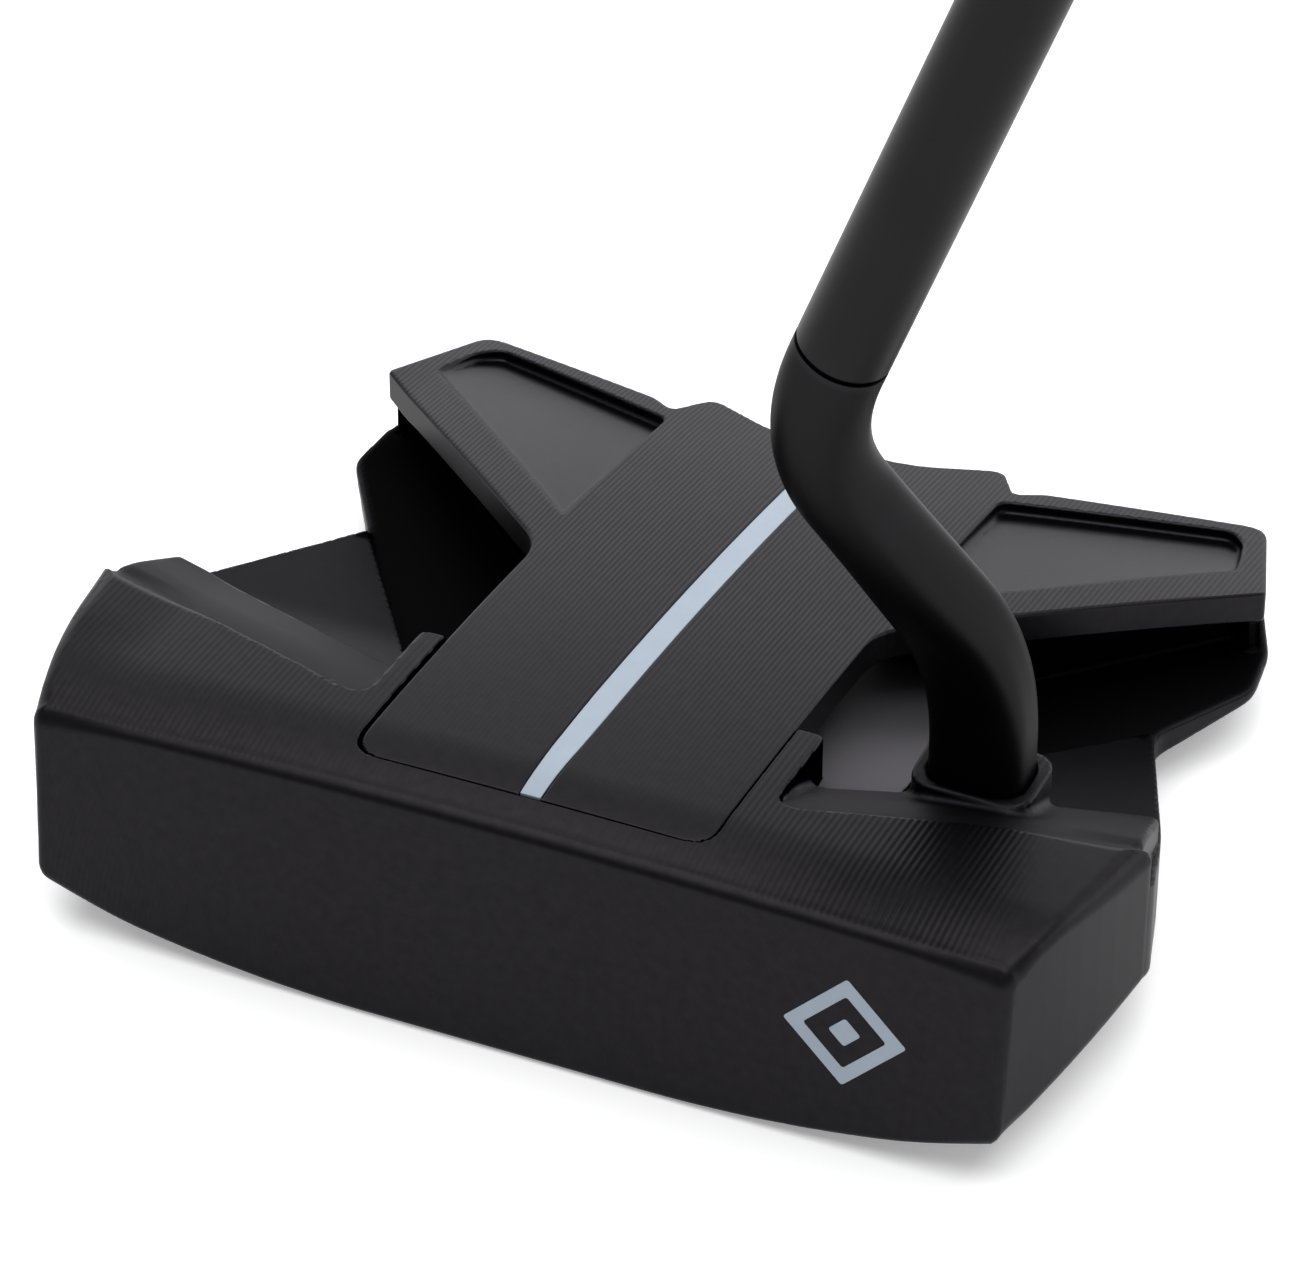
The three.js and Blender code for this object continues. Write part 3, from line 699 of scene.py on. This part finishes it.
def milled_height(n, x, z, pitch):
    """Relief of the milled lines along y on the crown, and of the cutter's arcs on the face."""
    wander = n.math("MULTIPLY", n.noise(60.0, 2.0), 0.0003)
    lines = stripes(n, n.math("ADD", x, wander), pitch)
    patches = n.mix(n.noise(24.0, 1.0), 0.35, 1.15)
    lines = n.math("MULTIPLY", n.math("MULTIPLY", lines, n.attribute("milled")), patches)
    side = n.math("SUBTRACT", x, -0.002)
    reach = n.math("SQRT", n.math("ADD", n.math("POWER", side, 2.0), n.math("POWER", z, 2.0)))
    arcs = n.math("MULTIPLY", stripes(n, reach, 0.0006), n.attribute("face"))
    arcs = n.math("MULTIPLY", arcs, n.mix(n.ramp(x, -0.02, -0.05), 0.12, 0.6))
    return lines, arcs


def anodised(name, pitch, blast_roughness):
    """Black anodised aluminium: milled on crown and face, satin elsewhere.

    The pitch of the milled lines is in metres. Blasted floors differ by blast_roughness.
    """
    n = Nodes(name)
    x, _, z = n.axes()
    lines, arcs = milled_height(n, x, z, pitch)
    grain = n.math("MULTIPLY", n.noise(4200.0, 2.0, 0.7), 0.3)
    height = n.math("ADD", n.math("ADD", lines, arcs), grain)
    blasted = n.attribute("blasted")
    edges = n.math("MULTIPLY", n.edges(), n.math("SUBTRACT", 1.0, blasted))
    shade_paint = n.attribute("painted_shade")
    tone = n.math("ADD", n.math("MULTIPLY", lines, 0.25), n.noise(900.0, 3.0))
    # Convex edges are lighter: partly wear, partly a painted edge highlight.
    tone = n.math("ADD", tone, n.math("MULTIPLY", edges, 0.9))
    base = n.colour(tone, (0.0118, 0.0111, 0.0124), (0.0190, 0.0179, 0.0200))
    # Painted shade: surfaces in the shade under the wings and by the ribs are turned near black.
    base = n.blend(shade_paint, base, (0.0035, 0.0034, 0.0036))
    # Painted highlight: the bay's floor gets a much brighter colour, standing for a bright reflection.
    base = n.blend(n.attribute("bay_highlight"), base, (0.074, 0.071, 0.077))
    rough = n.mix(n.noise(35.0, 3.0), 0.36, 0.44)
    rough = n.math("ADD", rough, n.math("MULTIPLY", blasted, blast_roughness))
    rough = n.math("SUBTRACT", rough, n.math("MULTIPLY", edges, 0.06))
    return n.finish(
        Base_Color=base,
        Metallic=1.0,
        # Painted shade: the shaded surfaces also reflect less, through a low specular tint.
        Specular_Tint=n.colour(shade_paint, (0.7, 0.7, 0.7), (0.05, 0.05, 0.05)),
        Roughness=rough,
        Normal=n.bump(height, 0.000016),
    )


def black_steel(name, tone=0.014, tint=0.7):
    """Steel with a fine matt black coat, rubbed a little by hands and cloths; its edges are lighter
    from wear and a painted edge highlight.
    """
    n = Nodes(name)
    grain = n.noise(5200.0, 2.0, 0.7)
    cloud = n.noise(40.0, 3.0)
    edges = n.edges()
    # Convex edges are lighter: partly wear, partly a painted edge highlight.
    shade = n.math("ADD", cloud, edges)
    return n.finish(
        Base_Color=n.colour(shade, (tone * 0.8,) * 3, (tone * 1.5, tone * 1.45, tone * 1.55)),
        Metallic=1.0,
        Specular_Tint=(tint, tint, tint, 1.0),
        Roughness=n.mix(cloud, 0.36, 0.43),
        Normal=n.bump(grain, 0.0000035),
    )


def bare_steel(name):
    """Turned stainless steel with rings from the lathe."""
    n = Nodes(name)
    rings = stripes(n, n.axes()[2], 0.00035)
    cloud = n.noise(90.0, 3.0)
    grain = n.math("ADD", n.math("MULTIPLY", rings, 0.4), n.noise(2600.0, 2.0))
    return n.finish(
        Base_Color=n.colour(cloud, (0.30, 0.30, 0.31), (0.42, 0.42, 0.43)),
        Metallic=1.0,
        Roughness=n.mix(cloud, 0.28, 0.42),
        Normal=n.bump(grain, 0.000004),
    )


def paint_fill(name):
    """Pale paint that has settled in its groove, a little uneven and duller in spots."""
    n = Nodes(name)
    cloud = n.noise(260.0, 3.0)
    specks = n.noise(2500.0, 2.0)
    return n.finish(
        Base_Color=n.colour(cloud, (0.240, 0.288, 0.340), (0.280, 0.334, 0.392)),
        Roughness=n.mix(specks, 0.45, 0.6),
        IOR=1.45,
        Normal=n.bump(n.math("ADD", cloud, specks), 0.00001),
    )


def rubber(name):
    """Grip rubber: matt, with a fine leathery skin."""
    n = Nodes(name)
    skin_noise = n.add("ShaderNodeTexVoronoi", feature="DISTANCE_TO_EDGE")
    n.feed(skin_noise, {"Vector": n.place, "Scale": 1400.0})
    cells = skin_noise.outputs["Distance"]
    cloud = n.noise(30.0, 3.0)
    return n.finish(
        Base_Color=n.colour(cloud, (0.010, 0.010, 0.011), (0.021, 0.020, 0.021)),
        Roughness=n.mix(cloud, 0.62, 0.78),
        Normal=n.bump(cells, 0.00005),
    )


def resin(name):
    n = Nodes(name)
    cloud = n.noise(500.0, 3.0)
    return n.finish(
        Base_Color=n.colour(cloud, (0.26, 0.22, 0.14), (0.40, 0.35, 0.24)),
        Roughness=n.mix(cloud, 0.3, 0.5),
        Normal=n.bump(cloud, 0.00003),
    )


def cloth_tape(name):
    """Woven tape: two crossed sets of threads."""
    n = Nodes(name)
    _, y, z = n.axes()
    weave = n.math("MULTIPLY", stripes(n, z, 0.0006), stripes(n, y, 0.0006))
    return n.finish(
        Base_Color=n.colour(weave, (0.38, 0.36, 0.31), (0.55, 0.52, 0.45)),
        Roughness=n.mix(n.noise(300.0), 0.8, 0.95),
        Normal=n.bump(weave, 0.00006),
    )


# Turned and swept pieces ---------------------------------------------------------------------------


def tube_faces(rings, sides, closed=False):
    """Quads between rings of points."""
    faces = []
    for i in range(rings if closed else rings - 1):
        a, b = i * sides, ((i + 1) % rings) * sides
        for j in range(sides):
            k = (j + 1) % sides
            faces.append((a + j, a + k, b + k, b + j))
    return faces


def arc(centre, radius, start, end, steps=4):
    """Points (radius, height) of a rounded corner in a profile, angles in degrees."""
    angles = np.radians(np.linspace(start, end, steps + 1))
    return [(centre[0] + radius * math.cos(a), centre[1] + radius * math.sin(a)) for a in angles]


def hexagon(angles, radius):
    """Reach of a hexagon at each angle, with a corner radius of that size."""
    sector = math.pi / 3
    return radius * math.cos(sector / 2) / np.cos((angles + sector / 2) % sector - sector / 2)


def ring_points(angles, reach, height):
    """Points around z at one height, with one reach or a reach for each angle."""
    heights = np.full(len(angles), height)
    return np.column_stack([reach * np.cos(angles), reach * np.sin(angles), heights])


def turned(rings, sides, place):
    """Points of a solid of revolution. A ring is (radius, height) or (radius, height, "hex")."""
    angles = np.linspace(0, 2 * math.pi, sides, endpoint=False)
    points = []
    for radius, height, *form in rings:
        reach = hexagon(angles, radius) if form else radius
        points.append(ring_points(angles, reach, height))
    return np.concatenate(points) + place


def screw_rings(screw, length):
    """From the centre of the socket floor out over the head and up the shank, 0 at the head's foot."""
    head, head_height, shank, socket = screw
    depth = head_height * 0.65
    thread = []
    height = head_height + 0.6
    while height < length - 0.8:
        thread += [(shank, height), (shank - 0.28, height + 0.25), (shank, height + 0.5)]
        height += 0.6
    return [
        (0.01, depth), (socket, depth, "hex"), (socket, 0.25, "hex"), (socket + 0.2, 0.0, "hex"),
        (head - 0.3, 0.0), *arc((head - 0.3, 0.3), 0.3, -60, 0),
        *arc((head - 0.15, head_height - 0.15), 0.15, 0, 90, 2),
        (shank + 0.1, head_height), (shank, head_height + 0.15), *thread,
        (shank - 0.4, length), (0.01, length),
    ]


def add_screw(name, place, screw, top, material):
    bottom = sole_height(*place) + SCREW_RECESS
    rings = screw_rings(screw, top - bottom)
    centre = ORIGIN + [place[0], place[1], bottom]
    points = turned(rings, 48, centre)
    make_piece(name, points, tube_faces(len(rings), 48), material, [name])


def add_weight(name, side, material):
    x, y = WEIGHT_PLACE
    bottom = sole_height(x, y) + WEIGHT_RECESS
    rim = 0.4
    across, top = WEIGHT_RADIUS - rim, WEIGHT_HEIGHT - rim
    rings = [
        (0.01, 3.5), (2.4, 3.5, "hex"), (2.4, 0.3, "hex"), (2.65, 0.05, "hex"),
        (3.6, 0.05), (3.75, 0.2), (4.5, 0.2), (4.65, 0.05), (across, 0.05),
        *arc((across, rim), rim, -80, 0), *arc((across, top), rim, 0, 90), (0.01, WEIGHT_HEIGHT),
    ]
    points = turned(rings, 72, ORIGIN + [side * x, y, bottom])
    make_piece(name, points, tube_faces(len(rings), 72), material, [name])


LIE = math.radians(70)
SHAFT_AXIS = np.array([math.cos(LIE), 0.0, math.sin(LIE)])
SHAFT_TIP = np.array([28.6, 12.4, 84.1])
SHAFT_LENGTH = 772.0
SHAFT_GAP = 0.1
BUTT_RADIUS = 7.62
# The shaft is straight near its tip, tapers, and is straight again under the grip.
TAPER_START, TAPER_END = 70, 470
NECK_BASE, NECK_KNEE, NECK_ELBOW = 17.0, 38.0, 73.0
NECK_BEND = 10.0
SPIGOT_RADIUS = 2.9


def neck_path(count):
    """Points evenly spaced along the neck's line, and its directions."""
    base = np.array([*NECK_PLACE, NECK_BASE])
    knee = np.array([*NECK_PLACE, NECK_KNEE])
    elbow = SHAFT_TIP + SHAFT_AXIS * (NECK_ELBOW - SHAFT_TIP[2]) / SHAFT_AXIS[2]
    along = (elbow - knee) / np.linalg.norm(elbow - knee)
    turns = [
        (knee - [0, 0, NECK_BEND], knee, knee + along * NECK_BEND),
        (elbow - along * NECK_BEND, elbow, elbow + SHAFT_AXIS * NECK_BEND),
    ]
    line = [base]
    t = np.linspace(0, 1, 200)[:, None]
    for start, middle, end in turns:
        line.append((1 - t) ** 2 * start + 2 * t * (1 - t) * middle + t * t * end)
    line.append(SHAFT_TIP)
    line = np.vstack(line)
    lengths = np.concatenate([[0], np.cumsum(np.linalg.norm(np.diff(line, axis=0), axis=1))])
    at = np.linspace(0, lengths[-1], count)
    points = np.column_stack([np.interp(at, lengths, line[:, i]) for i in range(3)])
    tangents = np.gradient(points, axis=0)
    return points, tangents / np.linalg.norm(tangents, axis=1)[:, None]


def add_neck(material):
    """The bent neck, with a groove turned in its end and a spigot that goes into the shaft."""
    steps, sides = 170, 72
    points, tangents = neck_path(steps)
    t = np.linspace(0, 1, steps)
    angles = np.linspace(0, 2 * math.pi, sides, endpoint=False)
    rings = []

    def ring(i, shrink, lift):
        across = np.array([1.0, 0, 0]) - tangents[i] * tangents[i][0]
        across /= np.linalg.norm(across)
        back = np.cross(tangents[i], across)
        u, v = neck_section(angles, t[i])
        scale = 1 - shrink / TIP_RADIUS
        centre = points[i] + tangents[i] * lift
        return centre + scale * (u[:, None] * across + v[:, None] * back)

    rings.append(ring(0, TIP_RADIUS - 0.01, 0))
    rings.append(ring(0, 0.3, 0))
    for i in range(steps - 3):
        rings.append(ring(i, 0, 0.3 if i == 0 else 0))
    for shrink, lift in [(0, -0.32), (0.05, -0.27), (0.4, -0.24), (0.4, 0)]:
        rings.append(ring(steps - 1, shrink, lift))
    tip = SPIGOT_RADIUS - 0.5
    for radius, lift in [(SPIGOT_RADIUS, 0), (SPIGOT_RADIUS, 23.5), (tip, 24), (0.01, 24)]:
        rings.append(ring(steps - 1, TIP_RADIUS - radius, lift))
    place = np.concatenate(rings) + ORIGIN
    make_piece("neck_bar", place, tube_faces(len(rings), sides), material, ["neck"])


def along_shaft(points):
    """From a frame whose z runs up the shaft from its tip to the row frame."""
    across = np.array([math.sin(LIE), 0.0, -math.cos(LIE)])
    back = np.array([0.0, 1.0, 0.0])
    x, y, z = points.T
    return ORIGIN + SHAFT_TIP + x[:, None] * across + y[:, None] * back + z[:, None] * SHAFT_AXIS


def add_shaft(material):
    bore = 3.6
    butt_bore = BUTT_RADIUS - 0.9
    heights = np.linspace(TAPER_START, TAPER_END, 33)
    taper = zip(np.linspace(TIP_RADIUS, BUTT_RADIUS, 33), heights)
    rings = [
        *arc((bore + 0.15, SHAFT_GAP + 0.15), 0.15, 180, 270, 2),
        *arc((TIP_RADIUS - 0.3, SHAFT_GAP + 0.3), 0.3, -90, 0), *taper,
        *arc((BUTT_RADIUS - 0.2, SHAFT_LENGTH - 0.2), 0.2, 0, 90, 2),
        (butt_bore, SHAFT_LENGTH), (butt_bore, TAPER_END), (bore, TAPER_START),
    ]
    points = along_shaft(turned(rings, 96, np.zeros(3)))
    faces = tube_faces(len(rings), 96, closed=True)
    make_piece("shaft_tube", points, faces, material, ["shaft"])


GRIP_LENGTH = 267.0
GRIP_START = SHAFT_LENGTH - GRIP_LENGTH + 3
GRIP_BORE = BUTT_RADIUS + 0.4
GRIP_TIP_RADIUS, GRIP_BUTT_RADIUS = 10.4, 14.6
FLAT_TIP, FLAT_BUTT = 9.5, 11.2


def grip_section(t, angles):
    """Outer points of the grip at a share t of its length: round, with one flat side."""
    widen = smoothstep(t, -0.1, 0.8)
    radius = GRIP_TIP_RADIUS + (GRIP_BUTT_RADIUS - GRIP_TIP_RADIUS) * widen
    flat = FLAT_TIP + (FLAT_BUTT - FLAT_TIP) * min(1.0, 1.6 * t)
    facing = np.maximum(-np.cos(angles), 1e-6)
    return np.minimum(radius, flat / facing)


def dimples(t, along, angles):
    """Depth of the grip's diamond dimples, which stop short of both ends."""
    around = angles * 13.0
    depth = np.cos(2 * math.pi * along / 4.2) * np.cos(2 * math.pi * around / 3.72)
    window = smoothstep(t, 0.08, 0.1) * (1 - smoothstep(t, 0.9, 0.92))
    return 0.32 * window * smoothstep(depth, 0.25, 0.75)


def drawn_in(i):
    """How far the grip's ring is drawn in, i rings from an end, to round its edge."""
    near = max(0, 1 - i / 3)
    return 0.5 * (1 - math.sqrt(1 - near * near))


def add_grip(material):
    sides, steps = 120, 330
    angles = np.linspace(0, 2 * math.pi, sides, endpoint=False)
    rings = []
    for i in range(steps + 1):
        t = i / steps
        along = GRIP_START + t * GRIP_LENGTH
        reach = grip_section(t, angles) - dimples(t, along, angles)
        reach = reach - drawn_in(i) - drawn_in(steps - i)
        rings.append(ring_points(angles, reach, along))
    for along in (GRIP_START + GRIP_LENGTH, GRIP_START):
        rings.append(ring_points(angles, GRIP_BORE, along))
    points = along_shaft(np.concatenate(rings))
    faces = tube_faces(len(rings), sides, closed=True)
    make_piece("grip_sleeve", points, faces, material, ["grip"])


def add_grip_cap(material):
    sides = 96
    top = GRIP_START + GRIP_LENGTH
    profile = [
        (0.01, top - 1.5), (6, top - 1.5), (6, top + 0.3), (12.4, top + 0.3),
        *arc((12.4, top + 0.9), 0.6, -90, 0), *arc((11.6, top + 1.2), 1.4, 0, 90, 6),
        (8.6, top + 2.6), (8.3, top + 2.3), (7.7, top + 2.3), (7.4, top + 2.6),
        (1.9, top + 2.6), *arc((1.9, top + 2.2), 0.4, 90, 180, 3),
        (1.5, top + 0.6), (0.01, top + 0.6),
    ]
    points = turned(profile, sides, np.zeros(3))
    points[:, 0] = np.maximum(points[:, 0], 1 - FLAT_BUTT)
    faces = tube_faces(len(profile), sides)
    make_piece("grip_end_cap", along_shaft(points), faces, material, ["grip_cap"])


# Face mark ---------------------------------------------------------------------------------------


def lozenge(half):
    corner = 0.35
    return rounded([(half, 0, corner), (0, half, corner), (-half, 0, corner), (0, -half, corner)], 4)


def on_face(flat, height):
    """Points of a mark, from its own plane to the lofted face in the row frame."""
    centre_x, centre_z = 35.6, 14.4
    right = np.array([1.0, 0, 0])
    up = np.array([0, math.sin(LOFT), math.cos(LOFT)])
    out = np.array([0, -math.cos(LOFT), math.sin(LOFT)])
    centre = np.array([centre_x, (centre_z - FACE_HEIGHT) * math.tan(LOFT), centre_z])
    return ORIGIN + centre + flat[:, :1] * right + flat[:, 1:] * up + height * out


def add_marks(material):
    """A lozenge frame with a dot, filled with paint that stands a hair proud of the face."""
    proud, sunk, soft = 0.035, -0.4, 0.05
    outer_half, inner_half, dot_half = 6.4, 4.3, 1.7
    outer, inner, dot = lozenge(outer_half), lozenge(inner_half), lozenge(dot_half)
    frame_points = np.concatenate([
        on_face(outer, sunk), on_face(outer, 0), on_face(outer * (1 - soft / outer_half), proud),
        on_face(inner * (1 + soft / inner_half), proud), on_face(inner, 0), on_face(inner, sunk),
    ])
    faces = tube_faces(6, len(outer), closed=True)
    make_piece("face_frame_paint", frame_points, faces, material, ["face_mark_frame"])
    dot_points = np.concatenate([
        on_face(dot * 0.01, sunk), on_face(dot, sunk), on_face(dot, 0),
        on_face(dot * (1 - soft / dot_half), proud), on_face(dot * 0.01, proud),
    ])
    faces = tube_faces(5, len(dot))
    make_piece("face_dot_paint", dot_points, faces, material, ["face_mark_dot"])


# Head ----------------------------------------------------------------------------------------------


def add_head(head_material, plate_material, paint):
    """The head's body, the winged plate and the sight line. Grids are finer across the seams."""
    x = ticks(
        (-58.5, -24, 0.5), (-24, -21.2, 0.4), (-21.2, -18, 0.24), (-18, 18.4, 0.8),
        (18.4, 19.6, 0.12), (19.6, 23.2, 0.3), (23.2, 44.8, 0.42), (44.8, 58.5, 0.5),
    )
    y = ticks(
        (-3, 3.5, 0.5), (3.5, 6.5, 0.2), (6.5, 12, 0.6), (12, 37.5, 0.42), (37.5, 98.5, 0.5)
    )
    z = ticks((-1, 21.8, 0.5), (21.8, 29.6, 0.4))
    points, quads, normals = skin(body_field, x, y, z)
    masks = {
        "milled": line_mask(points, normals),
        "face": face_mask(points, normals),
        "blasted": blasted_mask(points, normals),
        # Masks for the painted shade and for the bay's painted highlight.
        "painted_shade": painted_shade_mask(points, normals),
        "bay_highlight": bay_highlight_mask(points, normals),
    }
    make_piece(
        "machined_head", points + ORIGIN, quads, head_material, ["head_body"],
        normals, masks,
    )
    x = ticks(
        (-52, -20.5, 0.45), (-20.5, -17.5, 0.2), (-17.5, 18.3, 0.45), (18.3, 19.5, 0.1),
        (19.5, 52, 0.45),
    )
    y = ticks((3.5, 6.5, 0.2), (6.5, 98.5, 0.45))
    points, quads, normals = skin(plate_field, x, y, ticks((-4.4, 0.7, 0.3)))
    points, normals = unshear(points, normals)
    masks = {"milled": line_mask(points, normals), "blasted": blasted_mask(points, normals)}
    make_piece(
        "winged_plate", points + ORIGIN, quads, plate_material, ["top_plate"],
        normals, masks,
    )
    points, quads, normals = skin(
        line_field, ticks((-1.8, 1.8, 0.2)), ticks((4.8, 84.6, 0.6)), ticks((-0.8, 0.3, 0.1))
    )
    points, normals = unshear(points, normals)
    make_piece("sight_line_paint", points + ORIGIN, quads, paint, ["sight_line"], normals)


# Stage ---------------------------------------------------------------------------------------------


def add_floor():
    n = Nodes("studio_floor")
    cloud = n.noise(8.0, 3.0)
    n.finish(
        Base_Color=n.colour(cloud, (0.90, 0.90, 0.90), (0.93, 0.93, 0.93)),
        Roughness=n.mix(cloud, 0.75, 0.85),
        IOR=1.3,
        Emission_Color=(1.0, 1.0, 1.0, 1.0),
        Emission_Strength=0.26,
    )
    half = 6.0
    mesh = bpy.data.meshes.new("studio_floor")
    corners = [(-half, -half, 0), (half, -half, 0), (half, half, 0), (-half, half, 0)]
    mesh.from_pydata(corners, [], [(0, 1, 2, 3)])
    mesh.materials.append(n.material)
    floor = bpy.data.objects.new("studio_floor", mesh)
    floor.location.z = cad_bounds[0][2] - 0.00005
    bpy.context.scene.collection.objects.link(floor)


def add_light(name, place, target, size, power):
    data = bpy.data.lights.new(name, "AREA")
    data.shape = "RECTANGLE"
    data.size, data.size_y = size
    data.energy = power
    light = bpy.data.objects.new(name, data)
    light.location = place
    aim = Vector(target) - Vector(place)
    light.rotation_euler = aim.to_track_quat("-Z", "Y").to_euler()
    bpy.context.scene.collection.objects.link(light)


def add_studio():
    """A pale studio: a broad soft light overhead, pale walls behind and beside, a dim room in front."""
    world = bpy.data.worlds.new("studio")
    bpy.context.scene.world = world
    world.use_nodes = True
    tree = world.node_tree
    coordinates = tree.nodes.new("ShaderNodeTexCoord")
    split = tree.nodes.new("ShaderNodeSeparateXYZ")
    tree.links.new(coordinates.outputs["Generated"], split.inputs[0])
    # Parts of the direction: behind is 1 straight to the back, height is 1 straight up.
    behind, height = split.outputs[1], split.outputs[2]

    def step(value, low, high, at_low, at_high):
        node = tree.nodes.new("ShaderNodeMapRange")
        node.interpolation_type = "SMOOTHSTEP"
        tree.links.new(value, node.inputs["Value"])
        numbers = {"From Min": low, "From Max": high, "To Min": at_low, "To Max": at_high}
        for key, number in numbers.items():
            node.inputs[key].default_value = number
        return node.outputs[0]

    def combine(operation, a, b):
        node = tree.nodes.new("ShaderNodeMath")
        node.operation = operation
        tree.links.new(a, node.inputs[0])
        tree.links.new(b, node.inputs[1])
        return node.outputs[0]

    rear = combine("MULTIPLY", step(behind, 0.1, 0.75, 0.0, 1.0), step(height, 0.17, 0.56, 3.35, 0.12))
    rear = combine("MULTIPLY", rear, step(height, 0.0, 0.14, 0.0, 1.0))
    level = combine("ADD", step(height, 0.03, 0.3, 0.8, 0.3), rear)
    background = tree.nodes["Background"]
    tree.links.new(level, background.inputs["Strength"])
    background.inputs["Color"].default_value = (1.0, 1.0, 1.03, 1)
    add_light("overhead", (0.0, 0.1, 1.9), (0, 0, 0), (2.6, 2.6), 56.0)
    scene = bpy.context.scene
    scene.view_settings.view_transform = "Standard"
    scene.view_settings.look = "None"


# Assembly ------------------------------------------------------------------------------------------


def dress_hidden_nodes(steel, bond, tape):
    """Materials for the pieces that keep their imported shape."""
    finishes = {
        "plate_dowel_toe": steel, "plate_dowel_heel": steel, "shaft_bond": bond, "grip_tape": tape,
    }
    for name, material in finishes.items():
        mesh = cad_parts[name].data
        mesh.materials.clear()
        mesh.materials.append(material)


add_camera()
add_floor()
add_studio()

head_metal = anodised("anodised_head", 0.00068, 0.16)
plate_metal = anodised("anodised_plate", 0.00057, -0.06)
coated_steel = black_steel("black_steel")
neck_steel = black_steel("neck_steel", 0.0125, 0.57)
steel = bare_steel("bare_steel")
paint = paint_fill("paint_fill")
grip_rubber = rubber("grip_rubber")

add_head(head_metal, plate_metal, paint)
add_marks(paint)
add_neck(neck_steel)
add_shaft(coated_steel)
add_grip(grip_rubber)
add_grip_cap(grip_rubber)
for side_name, side in [("toe", -1), ("heel", 1)]:
    for row_name, (x, y) in SCREW_PLACES.items():
        top = top_height(x, y) - PLATE_THICKNESS + THREAD_REACH
        name = f"plate_screw_{row_name}_{side_name}"
        add_screw(name, (side * x, y), PLATE_SCREW, top, coated_steel)
    add_weight(f"sole_weight_{side_name}", side, steel)
add_screw("neck_screw", NECK_PLACE, NECK_SCREW, NECK_SCREW_TOP, coated_steel)
dress_hidden_nodes(steel, resin("bond_resin"), cloth_tape("cloth_tape"))
